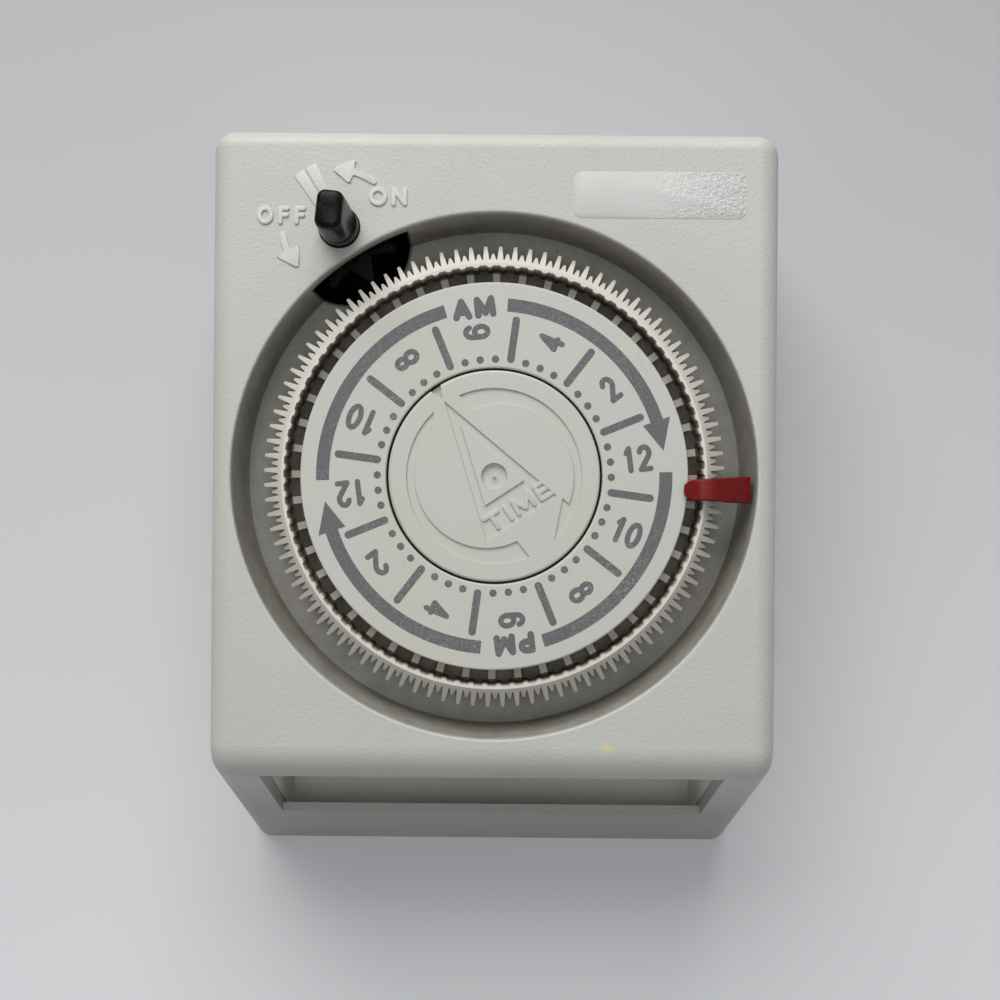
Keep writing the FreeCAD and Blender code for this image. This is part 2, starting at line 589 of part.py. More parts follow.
def make_movement():
    """Movement plate, gear train and the friction drive of the dial."""
    half_pitch = 180 / size("dial_teeth")
    plate = block("plate_body", ("sheet_left", "sheet_right"), ("sheet_near", "sheet_far"),
                  ("plate_low", "plate_high"))
    cuts = [
        block("plate_notch", ("sheet_left - 1", "notch_x"), ("notch_y", "sheet_far + 1"), THROUGH_PLATE),
        rod("plate_post_hole", "post_radius", THROUGH_PLATE),
        rod("plate_drive_hole", "drive_hole", THROUGH_PLATE, ("drive_x", "drive_y")),
        rod("plate_arbor_hole", "arbor_radius", THROUGH_PLATE, ("idler_x", "idler_y")),
    ]
    for x, y in PLATE_SCREWS:
        cuts.append(rod("plate_hole", "screw_radius + 0.1", THROUGH_PLATE, (x, y)))
    for x in MOTOR_EARS:
        cuts.append(rod("plate_motor_hole", "screw_radius", THROUGH_PLATE, (x, "motor_y")))
    subpart("movement_plate", cut("movement_plate", plate, *cuts))
    screws = [screw("plate_screw", at, "plate_low - head_height", "plate_low",
                    "plate_screw_tip")
              for at in PLATE_SCREWS]
    subpart("movement_screws", group("movement_screws", screws))

    arbor = rod("idler_arbor", "arbor_radius", ("0", "arbor_length"))
    subpart("idler_arbor", arbor, ("idler_x", "idler_y + dial_y", "plate_low"))

    dial_gear = gear("dial_gear_teeth", int(size("dial_teeth")), size("dial_module"),
                     size("idler_angle") + half_pitch, 0, size("dial_gear_thick"))
    lightening = []
    for hole in range(6):
        x, y = polar(size("light_circle"), 60 * hole + 30)
        lightening.append(rod("dial_gear_hole", "light_radius", ("-1", "dial_gear_thick + 1"), (x, y)))
    bore = rod("dial_gear_bore", "hub_step", ("-1", "dial_gear_thick + 1"))
    subpart("dial_gear", cut("dial_gear", dial_gear, bore, *lightening),
            (0, "dial_y", "dial_gear_low"))
    subpart("clutch_washer", tube("clutch_washer", "washer_radius", "hub_step",
                                  ("0", "dial_gear_low - washer_low")),
            (0, "dial_y", "washer_low"))
    ring = tube("clip_ring", "clip_radius", "hub_step", ("0", "washer_low - clip_low"))
    gap = block("clip_gap", ("0", "10"), ("-2", "2"), ("-1", "2"))
    subpart("dial_clip", cut("dial_clip", ring, gap), (0, "dial_y", "clip_low"))

    pinion = gear("idler_pinion_teeth", int(size("pinion_teeth")), size("dial_module"),
                  size("idler_angle") + 180, size("pinion_low"), size("pinion_high"))
    wheel = gear("idler_wheel_teeth", int(size("idler_teeth")), size("idler_module"),
                 190 + 180 / size("idler_teeth"), 0, size("idler_thick"))
    collar = rod("idler_collar", "3 * arbor_radius", ("idler_thick - 0.2", "pinion_low + 0.4"))
    idler_bore = rod("idler_bore", "arbor_radius + run_clear", ("-1", "pinion_high + 1"))
    subpart("idler_gear", cut("idler_gear", fuse("idler_body", pinion, wheel, collar), idler_bore),
            ("idler_x", "idler_y + dial_y", "idler_low"))

    drive = gear("drive_teeth", int(size("pinion_teeth")), size("idler_module"), 10,
                 size("drive_teeth_low"), size("drive_high"))
    stem = rod("drive_stem", "stem_radius", ("0", "drive_high"))
    subpart("drive_pinion", fuse("drive_pinion", drive, stem),
            ("drive_x", "drive_y + dial_y", "drive_low"))


def make_motor():
    """Synchronous clock motor in a drawn can with a flanged plate."""
    low = "motor_low"
    can = rod("can_body", "motor_radius", (low, "plate_low - flange_thick"))
    room = rod("can_room", "motor_radius - motor_wall", (f"{low} + motor_wall", "plate_low"))
    subpart("motor_can", cut("motor_can", can, room), ("motor_x", "motor_y + dial_y", 0))

    sheet_metal = ("plate_low - flange_thick", "plate_low")
    flange = rod("flange_disc", "motor_radius", sheet_metal, ("motor_x", "motor_y"))
    ear = block("flange_ears", ("motor_x - ear_reach", "motor_x + ear_reach"),
                ("motor_y - ear_half", "motor_y + ear_half"), sheet_metal)
    cuts = [rod("flange_bearing", "stem_radius + run_clear", THROUGH_PLATE, ("drive_x", "drive_y"))]
    for x in MOTOR_EARS:
        cuts.append(rod("ear_hole", "screw_radius", THROUGH_PLATE, (x, "motor_y")))
    subpart("motor_flange", cut("motor_flange", fuse("flange_body", flange, ear), *cuts))
    screws = [screw("motor_screw", (x, "motor_y"), f"{sheet_metal[0]} - head_height", sheet_metal[0],
                    "plate_high + 0.8") for x in MOTOR_EARS]
    subpart("motor_screws", group("motor_screws", screws))

    subpart("motor_coil", tube("motor_coil", "coil_outer", "coil_inner", ("coil_low", "coil_high")),
            ("motor_x", "motor_y + dial_y", 0))
    magnet = rod("rotor_magnet", "magnet_radius", ("magnet_low", "magnet_high"))
    arbor = rod("rotor_arbor", "rotor_radius", ("rotor_low", "rotor_high"))
    small = gear("rotor_gear", int(size("rotor_teeth")), size("rotor_module"), 0,
                 size("rotor_teeth_low"), size("rotor_high"))
    subpart("motor_rotor", fuse("motor_rotor", magnet, arbor, small),
            ("motor_x", "motor_y + dial_y", 0))


# ---------------------------------------------------------------- knob and switch
def make_knob():
    """Manual knob, its shaft, the eight-point star wheel and the switch cam."""
    at = ("knob_x", "knob_y + dial_y", 0)
    base = "case_depth - knob_sink"
    collar = rod("knob_collar", "knob_radius", (base, "case_depth + collar_rise"))
    grip_form = cone("knob_grip_cone", "knob_radius - 0.2", "knob_radius - 0.6",
                     ("case_depth + collar_rise - 0.1", "knob_top"))
    grip_slab = block("knob_grip_slab", ("-grip_half", "grip_half"), ("-knob_radius", "knob_radius"),
                      ("case_depth", "knob_top + 1"))
    grip = common("knob_grip", grip_form, grip_slab)
    socket = rod("knob_socket", "socket_radius", (f"{base} - 1", "case_depth + socket_rise"))
    knob = cut("knob", fuse("knob_body", collar, grip), socket)
    knob.Placement.Rotation = FreeCAD.Rotation(Vector(0, 0, 1), size("knob_angle"))
    subpart("knob", knob, at)

    shaft = fuse("knob_shaft", rod("shaft_rod", "shaft_radius", ("shaft_low", base)),
                 rod("shaft_end", "socket_radius", (f"{base} - 1", "case_depth + socket_rise")))
    subpart("knob_shaft", shaft, at)

    to_dial = math.degrees(math.atan2(-size("knob_y"), -size("knob_x")))
    pitch = 360 / size("star_points")
    half = size("star_tip_half")
    points = []
    for tooth in range(int(size("star_points"))):
        points.append(polar(size("star_radius"), to_dial + pitch * tooth - half))
        points.append(polar(size("star_radius"), to_dial + pitch * tooth + half))
        points.append(polar(size("star_valley"), to_dial + pitch * (tooth + 0.5)))
    star = formed("star_points", prism(points, size("star_low"), size("star_high")))
    star_bore = rod("star_bore", "shaft_radius", ("star_low - 1", "star_high + 1"))
    subpart("star_wheel", cut("star_wheel", star, star_bore), at)

    square = block("cam_square", ("-cam_flat", "cam_flat"), ("-cam_flat", "cam_flat"),
                   ("cam_low", "cam_high"))
    round_cam = common("cam_lobes", square, rod("cam_round", "cam_radius", ("cam_low", "cam_high")))
    cam_bore = rod("cam_bore", "shaft_radius", ("cam_low - 1", "cam_high + 1"))
    subpart("switch_cam", cut("switch_cam", round_cam, cam_bore), at)

    span = ("leaf_low", "leaf_high")
    leaf = tube("leaf_arc", "pocket_radius - leaf_gap", "pocket_radius - leaf_gap - leaf_thick", span)
    keep = block("leaf_keep", ("-12", "0"), ("2", "12"), ("leaf_low - 1", "leaf_high + 1"))
    keep.Placement.Rotation = FreeCAD.Rotation(Vector(0, 0, 1), size("leaf_angle"))
    nose = rod("leaf_nose", "nose_radius", span, polar(size("nose_reach"), to_dial + 4.5 * pitch))
    subpart("detent_spring", fuse("detent_spring", common("leaf_strip", leaf, keep), nose), at)


def button(name, thick, at):
    """A round contact whose axis lies along X."""
    item = doc.addObject("Part::Cylinder", name)
    item.Placement.Rotation = FreeCAD.Rotation(Vector(0, 1, 0), 90)
    item.setExpression("Radius", formula("contact_radius"))
    item.setExpression("Height", formula(thick))
    return place(item, at)


def make_switch():
    """Open-topped switch box, its hinged lever and the two contact strips."""
    outer = block("switch_outer", ("box_left", "box_right"), ("box_near", "box_far"),
                  ("box_low", "box_high"))
    inner = block("switch_inner", ("box_left + box_wall", "box_right - box_wall"),
                  ("box_near + box_wall", "box_far - box_wall"), ("box_low + box_floor", "box_high + 1"))
    bearing = rod("switch_bearing", "bearing_radius", ("box_low + 0.5", "bearing_high"),
                  ("knob_x", "knob_y"))
    well = rod("switch_well", "shaft_radius + run_clear", ("pin_low", "box_high"),
               ("knob_x", "knob_y"))
    pin_boss = rod("pin_boss", "pin_boss", ("box_low + 0.5", "pin_boss_high"), ("lever_x", "lever_y"))
    pin_hole = rod("pin_hole", "pin_radius", ("pin_low", "box_high"), ("lever_x", "lever_y"))
    walls = cut("switch_walls", outer, inner)
    subpart("switch_box", cut("switch_box", fuse("switch_body", walls, bearing, pin_boss),
                              well, pin_hole))
    subpart("lever_pin", rod("lever_pin", "pin_radius", ("0", "pin_length")),
            ("lever_x", "lever_y + dial_y", "pin_low"))

    span = ("lever_low", "lever_high")
    arm = block("lever_arm", ("-lever_half", "lever_half"), ("0", "lever_reach"), span)
    eye = rod("lever_eye", "lever_eye", span)
    contact = button("lever_contact", "contact_thick", ("lever_half", "contact_reach", "contact_z"))
    lever_bore = rod("lever_bore", "pin_radius + run_clear", ("lever_low - 1", "lever_high + 1"))
    subpart("switch_lever", cut("switch_lever", fuse("lever_body", arm, eye, contact), lever_bore),
            ("lever_x", "lever_y + dial_y", 0))

    strip = block("fixed_strip", ("strip_x", "strip_x + strip_thick"), ("strip_near", "strip_far"),
                  ("strip_low", "strip_high"))
    fixed = button("fixed_button", "button_thick",
                   ("strip_x - button_thick", "lever_y + contact_reach", "contact_z"))
    subpart("fixed_contact", fuse("fixed_contact", strip, fixed))


# ---------------------------------------------------------------- wiring
def lead(name, points, radius, bend):
    """An insulated wire on straight runs joined by tangent arcs."""
    corners = [Vector(*point) for point in points]
    edges = []
    start = corners[0]
    for before, corner, after in zip(corners, corners[1:], corners[2:]):
        back = (before - corner).normalize()
        onward = (after - corner).normalize()
        half = back.getAngle(onward) / 2
        trim = bend / math.tan(half)
        first = corner + back * trim
        last = corner + onward * trim
        inward = (back + onward).normalize()
        middle = corner + inward * (bend / math.sin(half) - bend)
        edges.append(Part.LineSegment(start, first).toShape())
        edges.append(Part.Arc(first, middle, last).toShape())
        start = last
    edges.append(Part.LineSegment(start, corners[-1]).toShape())
    path = Part.Wire(edges)
    ring = Part.Wire(Part.makeCircle(radius, corners[0], corners[1] - corners[0]))
    solid = path.makePipeShell([ring], True, False)
    expected = math.pi * radius ** 2 * path.Length
    if abs(solid.Volume - expected) > 0.03 * expected:
        raise ValueError(f"{name}: volume {solid.Volume:.1f}, expected {expected:.1f}")
    return formed(name, solid)


def make_wiring():
    """Leads from the inlet to the switch and the outlet, and to the motor."""
    radius = size("lead_radius")
    supply = lead("supply_run", [(-26.9, -38.1, 14), (-26.9, -22, 14), (-29.5, 0, 8.5),
                                 (-29.5, 25.2, 8.5)], radius, 5)
    subpart("lead_supply", supply)
    neutral = lead("neutral_run", [(-24.4, -38.1, 14), (-24.4, -29, 14), (-21, -22.4, 13),
                                   (-4, -22.4, 10.65), (-4, -25.1, 10.65)], radius, 1.3)
    subpart("lead_neutral", neutral)
    switched = lead("switched_run", [(-24, 25.2, 9), (-24, -20, 9), (-12, -20, 20),
                                     (-4, -20, 23.35), (-4, -25.1, 23.35)], radius, 2.3)
    subpart("lead_switched", switched)


def export_all():
    """Check every object, then write one file for each sub-part."""
    doc.recompute()
    for item in doc.Objects:
        if {"Invalid", "Error"} & set(item.State):
            raise RuntimeError(f"{item.Name} failed: {item.State}")
    os.makedirs("parts", exist_ok=True)
    for item in SUBPARTS:
        if item.Shape.isNull() or not item.Shape.isValid():
            raise RuntimeError(f"{item.Label} has no valid shape")
    for item in SUBPARTS:
        item.Shape.exportStep(f"parts/{item.Label}.step")
        print(item.Label, len(item.Shape.Solids), round(item.Shape.Volume, 1))


make_front_shell()
make_back_cover()
make_chamber()
make_outlet()
make_dial()
make_tripper()
make_movement()
make_motor()
make_knob()
make_switch()
make_wiring()
export_all()
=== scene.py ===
"""Looks of the programmable timer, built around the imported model.

Lengths are metres in the part's own frame: the timer lies on its back, +Z
leaves the face and +Y points to the top of the face.  The printed dial, the
raised marks, the tripper, the knob and the clear label are made here, and
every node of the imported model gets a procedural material.  Colours are linear,
and noise scales are per metre.
"""
import json
import math

import bmesh
import bpy
from mathutils import Matrix, Vector


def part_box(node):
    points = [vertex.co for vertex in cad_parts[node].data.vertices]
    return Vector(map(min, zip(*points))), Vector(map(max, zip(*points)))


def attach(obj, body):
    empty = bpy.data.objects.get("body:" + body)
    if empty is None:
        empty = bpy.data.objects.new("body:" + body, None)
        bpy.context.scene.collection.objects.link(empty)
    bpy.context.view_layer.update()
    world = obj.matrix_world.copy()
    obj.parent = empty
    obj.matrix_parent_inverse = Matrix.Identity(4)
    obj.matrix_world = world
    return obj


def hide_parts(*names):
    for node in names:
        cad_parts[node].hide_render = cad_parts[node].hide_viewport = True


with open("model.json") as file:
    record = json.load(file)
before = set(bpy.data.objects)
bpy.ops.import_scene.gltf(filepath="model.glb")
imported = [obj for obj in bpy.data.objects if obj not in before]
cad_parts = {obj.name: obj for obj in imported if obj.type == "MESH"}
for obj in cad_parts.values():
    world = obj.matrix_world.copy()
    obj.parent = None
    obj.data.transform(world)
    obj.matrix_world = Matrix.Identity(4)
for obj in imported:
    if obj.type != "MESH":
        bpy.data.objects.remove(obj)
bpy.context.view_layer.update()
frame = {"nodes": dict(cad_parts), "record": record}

MM = 0.001


# ---------------------------------------------------------------- places
def middle(node):
    """The centre of a node's box."""
    low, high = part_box(node)
    return (low + high) / 2


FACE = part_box("front_shell")[1].z
PLATE_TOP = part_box("dial_plate")[1].z
DISC_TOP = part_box("centre_disc")[1].z
DIAL = middle("dial_plate")
KNOB = middle("knob_shaft")
PRINT_TURN = math.radians(7.4)  # the print against the face
TRIP_TURN = math.radians(0.5)  # the tripper's length against +X
CHIP = DIAL + Vector((17.2, -40.6, 0)) * MM  # a yellow fleck on the lower edge of the face

# Radii about the dial's axis, and depths under the face or the plate's top, where dirt and painted shade
# begin
RECESS_RADIUS = 39.35 * MM
CHANNEL_RADIUS = 31.4 * MM
LUG_RADIUS = 30.8 * MM
LUG_DEPTH = 2.75 * MM
POCKET_RADIUS = 9.95 * MM  # about the knob's axis
POCKET_DEPTH = 2.0 * MM


# ---------------------------------------------------------------- colours
CASE_PALE, CASE_SHADE = (0.560, 0.565, 0.525), (0.520, 0.525, 0.485)
# painted shade for the sides and foot
CASE_FOOT_SHADE = (0.335, 0.330, 0.305)
CASE_SCRATCH = (0.30, 0.29, 0.26)
# dust mixed with painted shade, for the dial's recess
DUST_AND_SHADE_GREY, DUST_AND_SHADE_BROWN = (0.232, 0.213, 0.172), (0.204, 0.175, 0.124)
CRUMB_BROWN = (0.055, 0.042, 0.028)
# painted shade for the star wheel's pocket
POCKET_SHADE = (0.004, 0.004, 0.004)
CHIP_YELLOW = (0.66, 0.60, 0.36)
# a painted highlight for the raised marks' tops, and painted shade for their sides
MARK_HIGHLIGHT_PALE, MARK_HIGHLIGHT_DIM = (0.660, 0.660, 0.620), (0.610, 0.610, 0.570)
MARK_SIDE_SHADE = (0.235, 0.228, 0.200)
RING_PALE, RING_SHADE = (0.720, 0.698, 0.630), (0.665, 0.640, 0.570)
# painted shade deep in the ring, and brown dirt with painted shade in its channel
RING_DEEP_SHADE = (0.250, 0.216, 0.162)
CHANNEL_DIRT_AND_SHADE = (0.094, 0.067, 0.036)
PLATE_PALE, PLATE_YELLOW = (0.545, 0.552, 0.512), (0.560, 0.538, 0.452)
PLATE_SPECK, PLATE_HAIR = (0.10, 0.09, 0.075), (0.28, 0.25, 0.20)
INK_GREY, INK_WORN = (0.098, 0.105, 0.108), (0.35, 0.35, 0.33)
RED_DARK, RED_RUBBED = (0.165, 0.0045, 0.004), (0.190, 0.010, 0.008)
BLACK, BLACK_DUSTY = (0.0055, 0.0055, 0.0065), (0.022, 0.021, 0.021)
COPPER_DARK, COPPER_BRIGHT = (0.16, 0.035, 0.010), (0.48, 0.16, 0.055)
FILM_SHADE, FILM_PALE = (0.560, 0.572, 0.548), (0.590, 0.600, 0.580)
FLOOR_SHADE, FLOOR_PALE = (0.79, 0.80, 0.82), (0.82, 0.83, 0.85)
# painted shade for the floor beyond the object
FLOOR_FAR_SHADE = (0.41, 0.415, 0.425)


# ---------------------------------------------------------------- nodes of a material
class Paint:
    """A material's node tree with short calls for the nodes used here."""

    def __init__(self, name):
        self.material = bpy.data.materials.new(name)
        self.material.use_nodes = True
        self.tree = self.material.node_tree
        self.shader = self.tree.nodes["Principled BSDF"]
        self.place = self.node("ShaderNodeTexCoord").outputs["Object"]

    def node(self, kind, **settings):
        """Add a node and set its properties."""
        item = self.tree.nodes.new(kind)
        for name, value in settings.items():
            setattr(item, name, value)
        return item

    def link(self, start, end):
        """Join an output to an input."""
        self.tree.links.new(start, end)

    def feed(self, socket, value):
        """Link a socket to an output, or set its value."""
        if isinstance(value, bpy.types.NodeSocket):
            self.link(value, socket)
        else:
            socket.default_value = value

    def set(self, **values):
        """Set or link inputs of the shader; underscores stand for spaces."""
        for name, value in values.items():
            self.feed(self.shader.inputs[name.replace("_", " ")], value)

    def noise(self, scale, detail=3.0, roughness=0.55, stretch=None, distortion=0.0):
        """Noise over the object's own coordinates, per metre."""
        item = self.node("ShaderNodeTexNoise")
        item.inputs["Scale"].default_value = scale
        item.inputs["Detail"].default_value = detail
        item.inputs["Roughness"].default_value = roughness
        item.inputs["Distortion"].default_value = distortion
        self.link(self.stretched(stretch), item.inputs["Vector"])
        return item.outputs["Fac"]

    def cells(self, scale):
        """Distance to the nearest of scattered points."""
        item = self.node("ShaderNodeTexVoronoi")
        item.inputs["Scale"].default_value = scale
        self.link(self.place, item.inputs["Vector"])
        return item.outputs["Distance"]

    def stretched(self, stretch):
        """The object's coordinates, scaled along each axis."""
        if stretch is None:
            return self.place
        item = self.node("ShaderNodeMapping")
        item.inputs["Scale"].default_value = stretch
        self.link(self.place, item.inputs["Vector"])
        return item.outputs["Vector"]

    def ramp(self, value, *stops):
        """Map a value through (position, grey or colour) stops."""
        item = self.node("ShaderNodeValToRGB")
        elements = item.color_ramp.elements
        while len(elements) < len(stops):
            elements.new(0.5)
        for element, (position, level) in zip(elements, stops):
            element.position = position
            grey = (level,) * 3 if isinstance(level, (int, float)) else level
            element.color = (*grey, 1.0)
        self.link(value, item.inputs["Fac"])
        return item.outputs["Color"]

    def mix(self, share, first, second):
        """Blend two colours."""
        item = self.node("ShaderNodeMix", data_type="RGBA")
        factor, colour_a, colour_b = item.inputs[0], item.inputs[6], item.inputs[7]
        for socket, value in ((factor, share), (colour_a, first), (colour_b, second)):
            if isinstance(value, tuple) and len(value) == 3:
                value = (*value, 1.0)
            self.feed(socket, value)
        return item.outputs[2]  # the node's colour result

    def maths(self, operation, first, second):
        """One step of arithmetic."""
        item = self.node("ShaderNodeMath", operation=operation)
        self.feed(item.inputs[0], first)
        self.feed(item.inputs[1], second)
        return item.outputs[0]

    def part(self, axis):
        """One of the object's coordinates."""
        item = self.node("ShaderNodeSeparateXYZ")
        self.link(self.place, item.inputs[0])
        return item.outputs[axis]

    def between(self, value, low, high):
        """0 below low, 1 above high, and a straight line between."""
        item = self.node("ShaderNodeMapRange")
        item.inputs["From Min"].default_value = low
        item.inputs["From Max"].default_value = high
        self.link(value, item.inputs["Value"])
        return item.outputs["Result"]

    def bump(self, height, strength, distance, under=None):
        """A bump from a height; it may lie on another bump."""
        item = self.node("ShaderNodeBump")
        item.inputs["Strength"].default_value = strength
        item.inputs["Distance"].default_value = distance
        self.link(height, item.inputs["Height"])
        if under is not None:
            self.link(under, item.inputs["Normal"])
        return item.outputs["Normal"]

    def soft_edges(self, radius):
        """A normal that rounds sharp edges by a radius."""
        item = self.node("ShaderNodeBevel", samples=4)
        item.inputs["Radius"].default_value = radius
        return item.outputs["Normal"]

    def radius_from(self, centre):
        """Distance from an upright axis."""
        item = self.node("ShaderNodeVectorMath", operation="DISTANCE")
        flat = self.node("ShaderNodeCombineXYZ")
        self.link(self.part("X"), flat.inputs[0])
        self.link(self.part("Y"), flat.inputs[1])
        self.link(flat.outputs[0], item.inputs[0])
        item.inputs[1].default_value = (centre.x, centre.y, 0.0)
        return item.outputs["Value"]


def moulded(name, colour, shade):
    """Matt moulded plastic: mottled colour, fine grain and a slight unevenness."""
    paint = Paint(name)
    blotch = paint.noise(55.0, 4.0)
    fine = paint.noise(2600.0, 2.0, 0.6)
    base = paint.mix(paint.ramp(blotch, (0.3, 0.0), (0.72, 1.0)), colour, shade)
    speck = paint.ramp(paint.noise(900.0, 2.0), (0.68, 0.0), (0.8, 0.35))
    dark_speck = tuple(channel * 0.8 for channel in shade)
    paint.set(Base_Color=paint.mix(speck, base, dark_speck),
              Roughness=paint.ramp(fine, (0.2, 0.44), (0.8, 0.58)),
              Normal=paint.bump(fine, 0.35, 0.06 * MM))
    return paint.material


def case_plastic():
    """Warm grey shell: leathery grain, brown dust with painted shade in the recess, painted shade in the
    star wheel's pocket and on the sides and foot, and small damage.
    """
    paint = Paint("case_plastic")
    height = paint.part("Z")
    blotch = paint.noise(38.0, 5.0, 0.6)
    base = paint.mix(paint.ramp(blotch, (0.3, 0.0), (0.7, 1.0)), CASE_PALE, CASE_SHADE)

    # dust with painted shade, and crumbs, in the dial's recess
    radius = paint.radius_from(DIAL)
    inside = paint.maths("MULTIPLY", paint.between(radius, RECESS_RADIUS + 0.2 * MM, RECESS_RADIUS),
                         paint.between(height, FACE - 0.1 * MM, FACE - 1.6 * MM))
    # this dust share also paints the recess's shade
    dust = paint.ramp(paint.noise(210.0, 6.0, 0.65), (0.36, 0.50), (0.68, 0.85))
    tint = paint.ramp(paint.noise(26.0, 2.0), (0.40, DUST_AND_SHADE_GREY), (0.62, DUST_AND_SHADE_BROWN))
    base = paint.mix(paint.maths("MULTIPLY", inside, dust), base, tint)
    crumbs = paint.ramp(paint.noise(1500.0, 3.0, 0.65), (0.66, 0.0), (0.72, 0.8))
    base = paint.mix(paint.maths("MULTIPLY", inside, crumbs), base, CRUMB_BROWN)

    # the star wheel's pocket, painted near black as painted shade
    near_knob = paint.between(paint.radius_from(KNOB), POCKET_RADIUS + 0.35 * MM, POCKET_RADIUS)
    deep = paint.between(height, FACE - POCKET_DEPTH, FACE - POCKET_DEPTH - 0.4 * MM)
    base = paint.mix(paint.maths("MULTIPLY", near_knob, deep), base, POCKET_SHADE)

    # painted shade over the sides and foot, and a few hairline scratches
    painted_side_shade = paint.maths("MULTIPLY", paint.between(height, 36.0 * MM, 19.0 * MM), 0.8)
    base = paint.mix(painted_side_shade, base, CASE_FOOT_SHADE)
    hair = paint.ramp(paint.noise(95.0, 2.0, 0.5, (1.0, 9.0, 1.0), 0.6),
                      (0.492, 0.0), (0.5, 0.30), (0.508, 0.0))
    rare = paint.ramp(paint.noise(24.0, 2.0), (0.60, 0.0), (0.68, 1.0))
    base = paint.mix(paint.maths("MULTIPLY", hair, rare), base, CASE_SCRATCH)

    # the yellow chip
    ragged = paint.maths("MULTIPLY", paint.noise(1100.0, 3.0), 1.7 * MM)
    chip = paint.between(paint.maths("ADD", paint.radius_from(CHIP), ragged), 1.75 * MM, 1.6 * MM)
    chip = paint.maths("MULTIPLY", chip, paint.between(height, FACE - 6.0 * MM, FACE - 4.0 * MM))
    base = paint.mix(chip, base, CHIP_YELLOW)

    leather = paint.noise(1900.0, 3.0, 0.6, None, 0.6)
    fine = paint.noise(3400.0, 2.0, 0.6)
    under = paint.bump(leather, 0.5, 0.16 * MM, paint.soft_edges(0.25 * MM))
    paint.set(Base_Color=base, Normal=paint.bump(fine, 0.40, 0.07 * MM, under),
              Roughness=paint.ramp(blotch, (0.3, 0.40), (0.7, 0.50)))
    return paint.material


def raised_plastic():
    """Raised marks of the face: pale tops with a painted highlight, and painted shade round their feet.
    """
    paint = Paint("raised_plastic")
    # a painted highlight on the tops, and painted shade on the sides below them
    top = paint.between(paint.part("Z"), FACE + 0.03 * MM, FACE + 0.11 * MM)
    fine = paint.noise(2600.0, 2.0, 0.6)
    pale = paint.mix(paint.ramp(fine, (0.3, 0.0), (0.7, 1.0)), MARK_HIGHLIGHT_PALE, MARK_HIGHLIGHT_DIM)
    paint.set(Base_Color=paint.mix(top, MARK_SIDE_SHADE, pale), Roughness=0.45,
              Normal=paint.bump(fine, 0.3, 0.06 * MM))
    return paint.material


def dial_plastic():
    """Ivory ring: clean at the top, painted shade deeper down, brown dirt with painted shade in the
    channel, less on the lugs.
    """
    paint = Paint("dial_plastic")
    height = paint.part("Z")
    radius = paint.radius_from(DIAL)
    blotch = paint.noise(240.0, 5.0, 0.65)
    base = paint.mix(paint.ramp(blotch, (0.3, 0.0), (0.7, 1.0)), RING_PALE, RING_SHADE)

    # painted shade, darker deeper down
    low = paint.between(height, PLATE_TOP - 4.0 * MM, PLATE_TOP - 8.0 * MM)
    base = paint.mix(paint.maths("MULTIPLY", low, paint.ramp(blotch, (0.3, 0.25), (0.7, 0.75))),
                     base, RING_DEEP_SHADE)

    # brown dirt with painted shade in the channel; the lugs' tops get less of it
    channel = paint.maths("MULTIPLY", paint.between(radius, CHANNEL_RADIUS + 0.5 * MM, CHANNEL_RADIUS),
                          paint.between(height, PLATE_TOP - 0.6 * MM, PLATE_TOP - 2.9 * MM))
    lug_tops = paint.maths("MULTIPLY", paint.between(radius, LUG_RADIUS + 0.2 * MM, LUG_RADIUS),
                           paint.between(height, PLATE_TOP - LUG_DEPTH - 0.1 * MM, PLATE_TOP - LUG_DEPTH))
    kept = paint.maths("SUBTRACT", 1.0, paint.maths("MULTIPLY", lug_tops, 0.45))
    channel = paint.maths("MULTIPLY", channel, kept)
    base = paint.mix(paint.maths("MULTIPLY", channel, paint.ramp(blotch, (0.25, 0.88), (0.7, 1.0))),
                     base, CHANNEL_DIRT_AND_SHADE)

    fine = paint.noise(2600.0, 2.0)
    paint.set(Base_Color=base, Roughness=paint.ramp(blotch, (0.3, 0.42), (0.7, 0.55)),
              Normal=paint.bump(fine, 0.25, 0.05 * MM))
    return paint.material


def plate_plastic(name):
    """Pale printed plate or disc: very fine stipple, faint yellowing, specks and hairs."""
    paint = Paint(name)
    yellow = paint.ramp(paint.noise(48.0, 4.0, 0.6), (0.45, 0.0), (0.75, 1.0))
    base = paint.mix(yellow, PLATE_PALE, PLATE_YELLOW)
    speck = paint.ramp(paint.cells(170.0), (0.030, 1.0), (0.045, 0.0))
    speck_patch = paint.ramp(paint.noise(90.0, 1.0), (0.58, 0.0), (0.66, 0.85))
    base = paint.mix(paint.maths("MULTIPLY", speck, speck_patch), base, PLATE_SPECK)
    hair = paint.ramp(paint.noise(42.0, 2.0, 0.4, None, 1.2), (0.4965, 0.0), (0.5, 0.25), (0.5035, 0.0))
    hair_patch = paint.ramp(paint.noise(19.0, 1.0), (0.58, 0.0), (0.64, 1.0))
    base = paint.mix(paint.maths("MULTIPLY", hair, hair_patch), base, PLATE_HAIR)
    fine = paint.noise(3600.0, 2.0, 0.6)
    paint.set(Base_Color=base, Roughness=paint.ramp(fine, (0.3, 0.42), (0.7, 0.5)),
              Normal=paint.bump(fine, 0.22, 0.04 * MM, paint.soft_edges(0.14 * MM)))
    return paint.material


